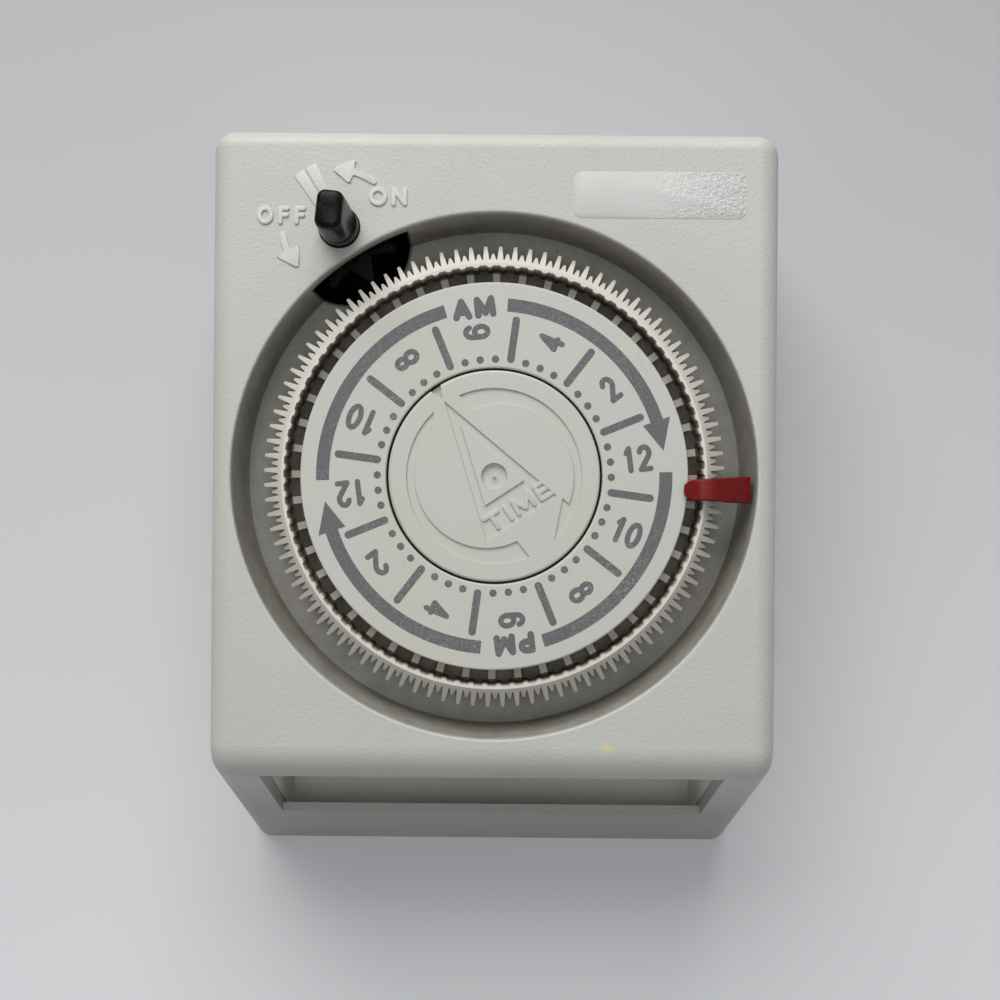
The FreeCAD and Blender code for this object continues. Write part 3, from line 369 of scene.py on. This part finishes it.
def print_ink():
    """Grey print, slightly worn so that the plate glints through."""
    paint = Paint("print_ink")
    worn = paint.ramp(paint.noise(4200.0, 3.0, 0.7), (0.50, 0.0), (0.66, 1.0))
    where = paint.ramp(paint.noise(52.0, 2.0), (0.45, 0.22), (0.62, 0.75))
    base = paint.mix(paint.maths("MULTIPLY", worn, where), INK_GREY, INK_WORN)
    paint.set(Base_Color=base, Roughness=paint.ramp(worn, (0.0, 0.42), (1.0, 0.3)),
              Normal=paint.bump(paint.noise(3000.0, 2.0), 0.2, 0.03 * MM))
    return paint.material


def red_plastic():
    """Dark red tripper with paler rubbed patches and softened edges."""
    paint = Paint("tripper_red")
    rub = paint.ramp(paint.noise(700.0, 4.0, 0.7), (0.45, 0.0), (0.75, 1.0))
    edges = paint.soft_edges(0.16 * MM)
    paint.set(Base_Color=paint.mix(rub, RED_DARK, RED_RUBBED),
              Roughness=paint.ramp(rub, (0.0, 0.38), (1.0, 0.5)), Specular_IOR_Level=0.32,
              Normal=paint.bump(paint.noise(2200.0, 3.0), 0.25, 0.05 * MM, edges))
    return paint.material


def black_plastic(name, rough, gloss):
    """Black moulding with dust and faint rub marks."""
    paint = Paint(name)
    dust = paint.ramp(paint.noise(900.0, 5.0, 0.7), (0.5, 0.0), (0.82, 1.0))
    paint.set(Base_Color=paint.mix(dust, BLACK, BLACK_DUSTY), Specular_IOR_Level=gloss,
              Roughness=paint.ramp(dust, (0.0, rough), (1.0, rough + 0.22)),
              Normal=paint.bump(paint.noise(1800.0, 2.0), 0.12, 0.04 * MM))
    return paint.material


def metal(name, colour, dark, rough):
    """Brushed metal with darker streaks."""
    paint = Paint(name)
    streak = paint.noise(140.0, 5.0, 0.65, (1.0, 30.0, 1.0))
    paint.set(Base_Color=paint.mix(paint.ramp(streak, (0.3, 0.0), (0.75, 1.0)), colour, dark),
              Metallic=1.0, Roughness=paint.ramp(streak, (0.2, rough), (0.8, rough + 0.2)),
              Normal=paint.bump(streak, 0.15, 0.03 * MM))
    return paint.material


def winding():
    """Varnished copper wire in close turns round the coil's axis."""
    paint = Paint("coil_winding")
    turns = paint.node("ShaderNodeTexWave", wave_type="BANDS", bands_direction="Z")
    turns.inputs["Scale"].default_value = 900.0
    turns.inputs["Distortion"].default_value = 1.5
    paint.link(paint.place, turns.inputs["Vector"])
    band = turns.outputs["Fac"]
    paint.set(Base_Color=paint.mix(band, COPPER_DARK, COPPER_BRIGHT),
              Metallic=0.7, Roughness=paint.ramp(band, (0.0, 0.5), (1.0, 0.25)),
              Normal=paint.bump(band, 0.6, 0.1 * MM))
    return paint.material


def clear_film():
    """Clear label: dull where it lies flat, with a glittering grain at its loose end."""
    paint = Paint("clear_film")
    wave = paint.noise(160.0, 2.0)
    base = paint.mix(paint.ramp(wave, (0.3, 0.0), (0.7, 1.0)), FILM_SHADE, FILM_PALE)
    loose = paint.between(paint.part("X"), DIAL.x + 20.0 * MM, DIAL.x + 34.0 * MM)
    grain = paint.maths("MULTIPLY", paint.noise(1700.0, 3.0, 0.6), loose)
    under = paint.bump(wave, 0.05, 0.2 * MM)
    paint.set(Base_Color=base, Roughness=paint.ramp(loose, (0.0, 0.62), (0.35, 0.40), (0.8, 0.12)),
              Normal=paint.bump(grain, 1.0, 0.36 * MM, under))
    return paint.material


MATERIALS = {
    "case_plastic": case_plastic(),
    "dial_plastic": dial_plastic(),
    "plate_plastic": plate_plastic("plate_plastic"),
    "disc_plastic": plate_plastic("disc_plastic"),
    "tripper_plastic": red_plastic(),
    "knob_plastic": black_plastic("knob_black", 0.26, 0.14),
    "dark_plastic": black_plastic("dark_plastic", 0.6, 0.12),
    "gear_plastic": moulded("gear_plastic", (0.72, 0.70, 0.62), (0.62, 0.59, 0.50)),
    "steel": metal("zinc_steel", (0.60, 0.61, 0.62), (0.36, 0.37, 0.38), 0.25),
    "plated_plate": metal("passivated_sheet", (0.62, 0.56, 0.38), (0.42, 0.40, 0.30), 0.3),
    "rotor_steel": moulded("ferrite", (0.060, 0.060, 0.064), (0.040, 0.040, 0.042)),
    "coil": winding(),
    "brass": metal("spring_brass", (0.80, 0.58, 0.24), (0.50, 0.34, 0.13), 0.22),
    "lead_cover": black_plastic("lead_cover", 0.5, 0.3),
    # a lighter plastic for the outlet chamber: painted light against the shade in the foot's opening
    "painted_light_chamber": moulded("painted_light_chamber", (0.86, 0.85, 0.80), (0.80, 0.79, 0.74)),
    "raised_plastic": raised_plastic(),
    # near-black brass for the strips in the pocket: painted shade
    "pocket_shade_brass": metal("pocket_shade_brass", (0.020, 0.013, 0.008), (0.010, 0.007, 0.005), 0.6),
}
# Nodes that differ from their slot: the strips in the pocket, painted near black as painted shade, and
# the outlet chamber, painted lighter as painted light
OWN_MATERIALS = {"fixed_contact": "pocket_shade_brass", "detent_spring": "pocket_shade_brass",
                 "switch_lever": "pocket_shade_brass", "outlet_chamber": "painted_light_chamber"}
INK = print_ink()
FILM = clear_film()


def finish_cad_nodes():
    """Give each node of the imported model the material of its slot."""
    for entry in frame["record"]["subparts"]:
        mesh = frame["nodes"][entry["node"]].data
        mesh.materials.clear()
        slot = OWN_MATERIALS.get(entry["node"], entry["material_slot"])
        mesh.materials.append(MATERIALS[slot])


# ---------------------------------------------------------------- building
def piece(name, mesh, material, body):
    """Add a finished mesh as a piece that rides on a body."""
    item = bpy.data.objects.new(name, mesh)
    bpy.context.scene.collection.objects.link(item)
    mesh.materials.clear()
    mesh.materials.append(material)
    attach(item, body)
    return item


def slab(outlines, low, high, ease=0.0, step=0.0):
    """A mesh of flat outlines raised from low to high, their top edges eased.

    Each outline's top is a step above the one before it, so that where two
    cross, their tops don't share a plane.
    """
    build = bmesh.new()
    for count, points in enumerate(outlines):
        top_edges = []
        lower = [build.verts.new((x, y, low)) for x, y in points]
        upper = [build.verts.new((x, y, high + count * step)) for x, y in points]
        build.faces.new(upper)
        build.faces.new(lower[::-1])
        for here in range(len(points)):
            there = (here + 1) % len(points)
            build.faces.new((lower[here], lower[there], upper[there], upper[here]))
            top_edges.append(build.edges.get((upper[here], upper[there])))
        if ease:
            bmesh.ops.bevel(build, geom=top_edges, offset=ease, segments=3, profile=0.5,
                            affect="EDGES", clamp_overlap=True)
    bmesh.ops.recalc_face_normals(build, faces=build.faces)
    mesh = bpy.data.meshes.new("slab")
    build.to_mesh(mesh)
    build.free()
    return mesh


def joined(name, parts):
    """Join meshes, each moved by its matrix, into one mesh."""
    build = bmesh.new()
    for mesh, matrix in parts:
        copy = mesh.copy()
        copy.transform(matrix)
        build.from_mesh(copy)
        bpy.data.meshes.remove(copy)
    mesh = bpy.data.meshes.new(name)
    build.to_mesh(mesh)
    build.free()
    return mesh


def around(centre, radius, angle):
    """A point at a radius and an angle, in radians, about a centre."""
    return centre.x + radius * math.cos(angle), centre.y + radius * math.sin(angle)


def arc_band(centre, inner, outer, start, end, steps):
    """The outline of a stretch of ring."""
    turns = [start + (end - start) * step / steps for step in range(steps + 1)]
    rim = [around(centre, outer, turn) for turn in turns]
    return rim + [around(centre, inner, turn) for turn in reversed(turns)]


def stroke(ax, ay, bx, by, width, steps):
    """The outline of a round-ended bar between two points."""
    aim = math.atan2(by - ay, bx - ax)
    points = []
    for x, y, start in ((bx, by, aim - math.pi / 2), (ax, ay, aim + math.pi / 2)):
        for step in range(steps + 1):
            turn = start + math.pi * step / steps
            points.append((x + width / 2 * math.cos(turn), y + width / 2 * math.sin(turn)))
    return points


def radial_bar(centre, inner, outer, width, angle):
    """The outline of a round-ended bar along a radius."""
    ax, ay = around(centre, inner + width / 2, angle)
    bx, by = around(centre, outer - width / 2, angle)
    return stroke(ax, ay, bx, by, width, 8)


def circle(x, y, radius, steps=20):
    """The outline of a dot."""
    turns = [2 * math.pi * step / steps for step in range(steps)]
    return [(x + radius * math.cos(turn), y + radius * math.sin(turn)) for turn in turns]


def bow(cx, cy, rx, ry, start, end, steps=10):
    """Points along part of an ellipse; angles are in degrees."""
    turns = [math.radians(start + (end - start) * step / steps) for step in range(steps + 1)]
    return [(cx + rx * math.cos(turn), cy + ry * math.sin(turn)) for turn in turns]


# Width of each character and points along the middles of its strokes, in a cell 1 high
GLYPHS = {
    "0": (0.56, [bow(0.28, 0.5, 0.28, 0.5, 0, 360, 24)]),
    "1": (0.20, [[(0.0, 0.80), (0.16, 1.0), (0.16, 0.0)]]),
    "2": (0.54, [bow(0.27, 0.72, 0.26, 0.28, 165, -25, 12) + [(0.02, 0.0), (0.54, 0.0)]]),
    "4": (0.56, [[(0.42, 0.0), (0.42, 1.0), (0.0, 0.27), (0.56, 0.27)]]),
    "6": (0.56, [bow(0.28, 0.30, 0.28, 0.30, 0, 360, 20),
                 bow(0.29, 0.72, 0.27, 0.28, 20, 180, 10) + [(0.0, 0.30)]]),
    "8": (0.56, [bow(0.28, 0.27, 0.28, 0.27, 0, 360, 20), bow(0.28, 0.77, 0.23, 0.23, 0, 360, 20)]),
    "A": (0.76, [[(0.0, 0.0), (0.38, 1.0), (0.76, 0.0)], [(0.14, 0.30), (0.62, 0.30)]]),
    "M": (0.88, [[(0.0, 0.0), (0.02, 1.0), (0.44, 0.12), (0.86, 1.0), (0.88, 0.0)]]),
    "P": (0.60, [[(0.0, 0.0), (0.0, 1.0), (0.32, 1.0)] + bow(0.32, 0.72, 0.28, 0.28, 90, -90, 10)
                 + [(0.0, 0.44)]]),
    "O": (0.86, [bow(0.43, 0.5, 0.43, 0.5, 0, 360, 28)]),
    "F": (0.50, [[(0.50, 1.0), (0.0, 1.0), (0.0, 0.0)], [(0.0, 0.52), (0.44, 0.52)]]),
    "N": (0.68, [[(0.0, 0.0), (0.0, 1.0), (0.68, 0.0), (0.68, 1.0)]]),
    "T": (0.74, [[(0.0, 1.0), (0.74, 1.0)], [(0.37, 1.0), (0.37, 0.0)]]),
    "I": (0.0, [[(0.0, 0.0), (0.0, 1.0)]]),
    "E": (0.56, [[(0.56, 1.0), (0.0, 1.0), (0.0, 0.0), (0.56, 0.0)], [(0.0, 0.5), (0.50, 0.5)]]),
}


LETTER_STEP = 0.00025 * MM  # height between the slabs of a word


def strokes_of(text, height, narrow, gap):
    """Stroke middles of a word about the origin, reading along +X."""
    runs = []
    x = 0.0
    for letter in text:
        width, glyph = GLYPHS[letter]
        runs += [[((x + px * narrow) * height, (py - 0.5) * height) for px, py in run]
                 for run in glyph]
        x += width * narrow + gap
    half = (x - gap) * height / 2
    return [[(px - half, py) for px, py in run] for run in runs]


def word_slab(text, height, weight, narrow, gap, rise, ease=0.0):
    """A word, printed or raised, each length of stroke a round-ended slab."""
    outlines = []
    for run in strokes_of(text, height - weight, narrow, gap):
        for (ax, ay), (bx, by) in zip(run, run[1:]):
            outlines.append(stroke(ax, ay, bx, by, weight, 6))
    return slab(outlines, 0.0, rise, ease, LETTER_STEP)


def smooth(item, degrees=40.0):
    """Shade smooth, but keep edges sharper than an angle."""
    mesh = item.data
    mesh.polygons.foreach_set("use_smooth", [True] * len(mesh.polygons))
    build = bmesh.new()
    build.from_mesh(mesh)
    for edge in build.edges:
        if len(edge.link_faces) == 2:
            edge.smooth = edge.calc_face_angle(0) < math.radians(degrees)
    build.to_mesh(mesh)
    build.free()


# ---------------------------------------------------------------- dial print
PRINT_HEIGHT = 0.03 * MM
HOUR = 30.0  # degrees between two hour bars
BAR_INNER, BAR_OUTER, BAR_WIDTH = 17.1 * MM, 24.1 * MM, 1.12 * MM
DOT_RING, DOT_RADIUS, DOT_STEP = 17.5 * MM, 0.555 * MM, 7.5  # the step in degrees
BAND_INNER, BAND_OUTER = 24.7 * MM, 26.65 * MM
BAND_SPANS = ((78.6, 11.8), (-5.6, -80.4))  # before and after the 12, in degrees
BAND_STEPS = 48
ARROW_TIP = (25.6 * MM, 1.6)  # radius and degrees
ARROW_BASE = (23.5 * MM, 27.75 * MM)
HOURS_RING, HALVES_RING = 21.7 * MM, 25.3 * MM
# height, stroke weight, and width and gap of the characters as shares of the stroke's height
HOURS_TYPE = (4.1 * MM, 0.80 * MM, 0.84, 0.42)
HALVES_TYPE = (3.3 * MM, 1.0 * MM, 1.10, 0.60)


def dial_angle(degrees):
    """An angle of the print: 90 is the 6 of the morning."""
    return math.radians(degrees) + PRINT_TURN


def dial_print():
    """Bars, dots, day and night bands, hours and the two halves of the day."""
    outlines = []
    for hour in range(12):
        middle_turn = 90 + HOUR * hour
        outlines.append(radial_bar(DIAL, BAR_INNER, BAR_OUTER, BAR_WIDTH,
                                   dial_angle(middle_turn - HOUR / 2)))
        for step in (-1, 0, 1):
            x, y = around(DIAL, DOT_RING, dial_angle(middle_turn + DOT_STEP * step))
            outlines.append(circle(x, y, DOT_RADIUS))
    for half in (0, 180):
        for start, end in BAND_SPANS:
            outlines.append(arc_band(DIAL, BAND_INNER, BAND_OUTER, dial_angle(start - half),
                                     dial_angle(end - half), BAND_STEPS))
        tip = around(DIAL, ARROW_TIP[0], dial_angle(ARROW_TIP[1] - half))
        base = [around(DIAL, reach, dial_angle(BAND_SPANS[0][1] - half)) for reach in ARROW_BASE]
        outlines.append([base[0], tip, base[1]])
    mesh = slab(outlines, PLATE_TOP, PLATE_TOP + PRINT_HEIGHT)
    piece("dial_marks", mesh, INK, "dial")

    words = []
    for step, text in enumerate(("6", "4", "2", "12", "10", "8")):
        for half in (0, 180):
            angle = dial_angle(90 - HOUR * step - half)
            words.append((text, HOURS_TYPE, HOURS_RING, angle, angle))
    for text, degrees in (("AM", 90), ("PM", -90)):
        angle = dial_angle(degrees)
        words.append((text, HALVES_TYPE, HALVES_RING, angle, angle - math.pi / 2))
    letters = []
    for text, kind, reach, angle, turn in words:
        x, y = around(DIAL, reach, angle)
        matrix = Matrix.Translation((x, y, PLATE_TOP)) @ Matrix.Rotation(turn, 4, "Z")
        letters.append((word_slab(text, *kind, PRINT_HEIGHT), matrix))
    piece("dial_numerals", joined("dial_numerals", letters), INK, "dial")


# ---------------------------------------------------------------- raised marks of the face
MARK_FOOT = FACE - 0.05 * MM  # the marks' undersides lie in the face
ARROW_TOP, BARS_TOP = FACE + 0.24 * MM, FACE + 0.2 * MM
ARROW_EASE, BARS_EASE = 0.14 * MM, 0.12 * MM
STEM_HALF, WING_HALF = 0.45, 1.8  # mm either side of the arrow's middle
# degrees of start, neck and tip about the knob, and the radius in mm
ARROWS = ((53.0, 77.0, 96.0, 8.5), (187.5, 205.5, 224.8, 8.45))
BARS_AIM = math.radians(121.2)
BAR_CORNERS = ((3.9, 0.10), (3.9, 1.42), (10.05, 1.90), (10.05, 0.10))  # mm out, mm aside
# word, place from the knob, height and type, in mm and shares
FACE_WORDS = (("OFF", -8.63, 1.70, 2.75, 1.0, 0.68), ("ON", 7.22, 4.62, 2.85, 1.15, 0.58))
FACE_WEIGHT, FACE_RISE, FACE_EASE = 0.70 * MM, 0.27 * MM, 0.14 * MM


def arrow_mark(start, neck, tip, radius):
    """A curved arrow about the knob, its head square to the stem; angles in degrees."""
    def at(reach, degrees):
        return around(KNOB, reach * MM, math.radians(degrees))

    turns = [start + (neck - start) * step / 8 for step in range(9)]
    outer = [at(radius + STEM_HALF, turn) for turn in turns]
    inner = [at(radius - STEM_HALF, turn) for turn in turns]
    # half the head, from the barb to the tip: mm aside and degrees
    side = ((WING_HALF - 0.2, neck - 1.0), (WING_HALF, neck + 0.8),
            (WING_HALF - 0.25, neck + 2.8), (0.45, tip - 2.2))
    head = ([at(radius + aside, turn) for aside, turn in side] + [at(radius, tip)]
            + [at(radius - aside, turn) for aside, turn in reversed(side)])
    tail = [at(radius - STEM_HALF * 0.7, start - 2.0), at(radius, start - 3.0),
            at(radius + STEM_HALF * 0.7, start - 2.0)]
    return tail + outer + head + inner[::-1]


def raised_mark(name, mesh):
    """A raised mark of the case's own plastic."""
    item = piece(name, mesh, MATERIALS["raised_plastic"], "case")
    smooth(item)


def face_marks():
    """Raised arrows, index bars and words beside the knob."""
    arrows = [arrow_mark(*arrow) for arrow in ARROWS]
    raised_mark("face_arrows", slab(arrows, MARK_FOOT, ARROW_TOP, ARROW_EASE))

    along = Vector((math.cos(BARS_AIM), math.sin(BARS_AIM)))
    across = Vector((-along.y, along.x))
    bars = []
    for side in (-1, 1):
        points = [KNOB.xy + along * reach * MM + across * side * width * MM
                  for reach, width in BAR_CORNERS]
        bars.append([tuple(point) for point in (points if side < 0 else points[::-1])])
    raised_mark("index_bars", slab(bars, MARK_FOOT, BARS_TOP, BARS_EASE))

    words = []
    for text, x, y, tall, narrow, gap in FACE_WORDS:
        letters = word_slab(text, tall * MM, FACE_WEIGHT, narrow, gap, FACE_RISE, FACE_EASE)
        matrix = Matrix.Translation((KNOB.x + x * MM, KNOB.y + y * MM, FACE))
        words.append((letters, matrix))
    raised_mark("face_words", joined("face_words", words))


def rounded_ring(half_x, half_y, corner, steps=8):
    """Points round a rectangle with round corners, about the origin."""
    points = []
    for sx, sy, start in ((1, 1, 0), (-1, 1, 90), (-1, -1, 180), (1, -1, 270)):
        for step in range(steps + 1):
            turn = math.radians(start + 90 * step / steps)
            points.append((sx * (half_x - corner) + corner * math.cos(turn),
                           sy * (half_y - corner) + corner * math.sin(turn)))
    return points


LABEL_HALF_X, LABEL_HALF_Y, LABEL_CORNER = 12.85 * MM, 3.45 * MM, 1.2 * MM
LABEL_X, LABEL_Y = DIAL.x + 24.4 * MM, DIAL.y + 42.1 * MM
LABEL_FOOT, LABEL_TOP, LABEL_EASE = FACE - 0.02 * MM, FACE + 0.06 * MM, 0.04 * MM


def clear_label():
    """Thin clear label at the top right of the face."""
    points = [(LABEL_X + x, LABEL_Y + y)
              for x, y in rounded_ring(LABEL_HALF_X, LABEL_HALF_Y, LABEL_CORNER, 6)]
    item = piece("clear_label", slab([points], LABEL_FOOT, LABEL_TOP, LABEL_EASE),
                 FILM, "case")
    smooth(item)


# ---------------------------------------------------------------- centre disc
DISC_WORD_TYPE = (2.9 * MM, 0.72 * MM, 1.4, 0.6)
DISC_WORD_RISE, DISC_WORD_EASE = 0.27 * MM, 0.12 * MM
DISC_WORD_PLACE = Vector((3.57 * MM, -4.49 * MM, 0)) + Vector((DIAL.x, DIAL.y, DISC_TOP - 0.3 * MM))
DISC_WORD_TURN = math.radians(33.5)


def disc_word():
    """The raised word in the pointer's sunk strip."""
    word = word_slab("TIME", *DISC_WORD_TYPE, DISC_WORD_RISE, DISC_WORD_EASE)
    matrix = Matrix.Translation(DISC_WORD_PLACE) @ Matrix.Rotation(DISC_WORD_TURN, 4, "Z")
    item = piece("disc_word", joined("disc_word", [(word, matrix)]), MATERIALS["disc_plastic"],
                 "case")
    smooth(item)


# ---------------------------------------------------------------- lofted pieces
def loft(rings):
    """A closed mesh through rings of equally many points."""
    build = bmesh.new()
    rows = [[build.verts.new(point) for point in ring] for ring in rings]
    for low, high in zip(rows, rows[1:]):
        for here in range(len(low)):
            there = (here + 1) % len(low)
            build.faces.new((low[here], low[there], high[there], high[here]))
    build.faces.new(rows[0][::-1])
    build.faces.new(rows[-1])
    bmesh.ops.recalc_face_normals(build, faces=build.faces)
    mesh = bpy.data.meshes.new("loft")
    build.to_mesh(mesh)
    build.free()
    return mesh


KNOB_TURN = math.radians(-6.0)
KNOB_COLLAR = 2.5  # mm over the face
# The grip in mm: height over the face, half width, half length, corner radius
GRIP = ((3.3, 2.3, 2.86, 1.9), (3.8, 2.14, 2.84, 1.5), (5.0, 2.05, 2.82, 1.25),
        (8.0, 1.98, 2.79, 1.2), (10.8, 1.92, 2.75, 1.2), (11.3, 1.87, 2.68, 1.15),
        (11.65, 1.75, 2.54, 1.1), (11.88, 1.55, 2.32, 1.05), (12.0, 1.25, 2.00, 0.95))


def knob_piece():
    """Glossy knob: a round collar and a flat grip with soft edges."""
    low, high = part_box("knob")
    reach = (high.x - low.x) / 2 / MM
    foot, top = (low.z - FACE) / MM, (high.z - FACE) / MM
    collar = ((foot, reach, reach, reach), (KNOB_COLLAR, reach, reach, reach),
              (KNOB_COLLAR + 0.3, reach - 0.08, reach - 0.04, reach - 0.1),
              (KNOB_COLLAR + 0.5, 2.55, reach - 0.1, 2.5))
    turn = Matrix.Rotation(KNOB_TURN, 4, "Z")
    rings = []
    for height, half_x, half_y, corner in collar + GRIP:
        ring = [turn @ Vector((x * MM, y * MM, FACE + min(height, top) * MM))
                for x, y in rounded_ring(half_x, half_y, corner)]
        rings.append([point + Vector((KNOB.x, KNOB.y, 0)) for point in ring])
    item = piece("turning_knob", loft(rings), MATERIALS["knob_plastic"], "knob_spindle")
    smooth(item, 50.0)
    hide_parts("knob")


# The tripper in mm: reach from the nose, underside and top against the plate's top, half width
TRIPPER_STATIONS = (
    (0.0, 0.25, 0.75, 0.55), (0.12, 0.15, 1.0, 0.85), (0.45, 0.1, 1.35, 1.2),
    (1.0, 0.1, 1.85, 1.45), (1.7, 0.1, 2.32, 1.58), (2.1, 0.1, 2.46, 1.62),
    (2.3, 0.1, 2.5, 1.63), (4.3, 0.1, 2.5, 1.66), (4.5, 0.1, 2.40, 1.68),
    (4.95, 0.1, 2.14, 1.72), (7.04, -3.1, 0.92, 1.86), (7.06, -5.2, 0.90, 1.88),
    (10.0, -5.2, -0.80, 2.04), (10.2, -5.1, -0.96, 2.02), (10.26, -4.95, -1.1, 1.92))
TRIPPER_CORNER = 0.30
CREASE_FROM, CREASE_TO, CREASE_HALF, CREASE_RISE = 2.0, 4.6, 0.35, 0.07  # along the flat top
BLADE_HALF_X, BLADE_HALF_Y, BLADE_CORNER, BLADE_REACH = 0.93, 1.08, 0.15, 1.8
BLADE_TOP = 0.4


def tripper_piece():
    """Red tripper: a round nose, a flat top, a sloping flag and its blade."""
    low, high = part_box("off_tripper")
    along = Vector((math.cos(TRIP_TURN), math.sin(TRIP_TURN), 0))
    across = Vector((-along.y, along.x, 0))
    start = low.x
    centre = Vector((0, (low.y + high.y) / 2 - math.sin(TRIP_TURN) * (start + high.x) / 2, 0))

    def at(reach, side, z):
        point = centre + along * (start + reach * MM) + across * side * MM
        point.z = z
        return point

    rings = []
    for reach, under, over, half in TRIPPER_STATIONS:
        tall = (over - under) / 2
        corner = min(TRIPPER_CORNER, tall * 0.9, half * 0.8)
        creased = CREASE_FROM < reach < CREASE_TO
        ring = []
        for side, rise in rounded_ring(half, tall, corner, 5):
            crease = 0.0
            if creased and rise > 0:
                crease = CREASE_RISE * max(0.0, 1 - abs(side) / CREASE_HALF)
            ring.append(at(reach, side, PLATE_TOP + (under + tall + rise + crease) * MM))
        rings.append(ring)
    # the blade that stands in the dial's channel, between two lugs
    outline = rounded_ring(BLADE_HALF_X, BLADE_HALF_Y, BLADE_CORNER, 2)
    blade = [[at(BLADE_REACH + x, y, z) for x, y in outline]
             for z in (low.z, PLATE_TOP + BLADE_TOP * MM)]
    still = Matrix.Identity(4)
    mesh = joined("tripper", [(loft(rings), still), (loft(blade), still)])
    item = piece("red_tripper", mesh, MATERIALS["tripper_plastic"], "tripper")
    smooth(item, 35.0)
    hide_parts("off_tripper")


# ---------------------------------------------------------------- stage
FLOOR_HALF = 1.5
FLOOR_GAP = 0.05 * MM  # keeps it clear of the back cover, which lies in the plane Z = 0
FLOOR_NEAR_Y, FLOOR_FAR_Y = -0.09, 0.11  # painted shade darkens it between these
SKY_COLOUR, SKY_STRENGTH = (0.94, 0.965, 1.0, 1.0), 0.245
LENS, SENSOR, SHIFT_X = 43.2, 36.0, 0.006
CAMERA_HEIGHT = 179.0 * MM  # over the face
CAMERA_BELOW = 3.58 * MM  # under the dial's axis
CAMERA_ROLL = math.radians(0.5)


def backdrop():
    """A plain pale floor, with painted shade darkening it beyond the object."""
    build = bmesh.new()
    bmesh.ops.create_grid(build, x_segments=2, y_segments=2, size=FLOOR_HALF)
    mesh = bpy.data.meshes.new("floor")
    build.to_mesh(mesh)
    build.free()
    floor = bpy.data.objects.new("floor", mesh)
    bpy.context.scene.collection.objects.link(floor)
    floor.location.z = -FLOOR_GAP
    paint = Paint("floor_paint")
    tint = paint.ramp(paint.noise(9.0, 2.0), (0.3, FLOOR_SHADE), (0.7, FLOOR_PALE))
    far_shade = paint.between(paint.part("Y"), FLOOR_NEAR_Y, FLOOR_FAR_Y)
    paint.set(Base_Color=paint.mix(far_shade, tint, FLOOR_FAR_SHADE), Roughness=0.6)
    mesh.materials.append(paint.material)


def area_light(name, place, aim, power, width, height, colour):
    """A soft rectangular light that looks at a point."""
    light = bpy.data.lights.new(name, "AREA")
    light.shape = "RECTANGLE"
    light.size = width
    light.size_y = height
    light.energy = power
    light.color = colour
    item = bpy.data.objects.new(name, light)
    bpy.context.scene.collection.objects.link(item)
    item.location = place
    item.rotation_euler = (Vector(aim) - Vector(place)).to_track_quat("-Z", "Y").to_euler()


def lights():
    """Soft daylight from beyond the top of the face, and a dim pale surround."""
    area_light("window", place=(-0.10, 0.54, 0.47), aim=(0, 0.03, 0.03), power=4.7,
               width=0.62, height=0.46, colour=(1.0, 0.995, 0.98))
    area_light("ceiling", place=(0.0, 0.0, 1.3), aim=(0, 0, 0), power=2.6,
               width=0.6, height=0.6, colour=(1.0, 1.0, 1.0))
    world = bpy.data.worlds.new("surround")
    world.use_nodes = True
    background = world.node_tree.nodes["Background"]
    background.inputs["Color"].default_value = SKY_COLOUR
    background.inputs["Strength"].default_value = SKY_STRENGTH
    bpy.context.scene.world = world
    bpy.context.scene.view_settings.view_transform = "Standard"


def camera():
    """A lens straight above the face, a little below the dial's centre."""
    data = bpy.data.cameras.new("view")
    data.sensor_width = SENSOR
    data.lens = LENS
    data.clip_start = 0.01
    data.shift_x = SHIFT_X
    item = bpy.data.objects.new("view", data)
    bpy.context.scene.collection.objects.link(item)
    item.location = (DIAL.x, DIAL.y - CAMERA_BELOW, FACE + CAMERA_HEIGHT)
    item.rotation_euler = (0, 0, CAMERA_ROLL)
    bpy.context.scene.camera = item


backdrop()
lights()
camera()
finish_cad_nodes()
dial_print()
face_marks()
clear_label()
disc_word()
knob_piece()
tripper_piece()
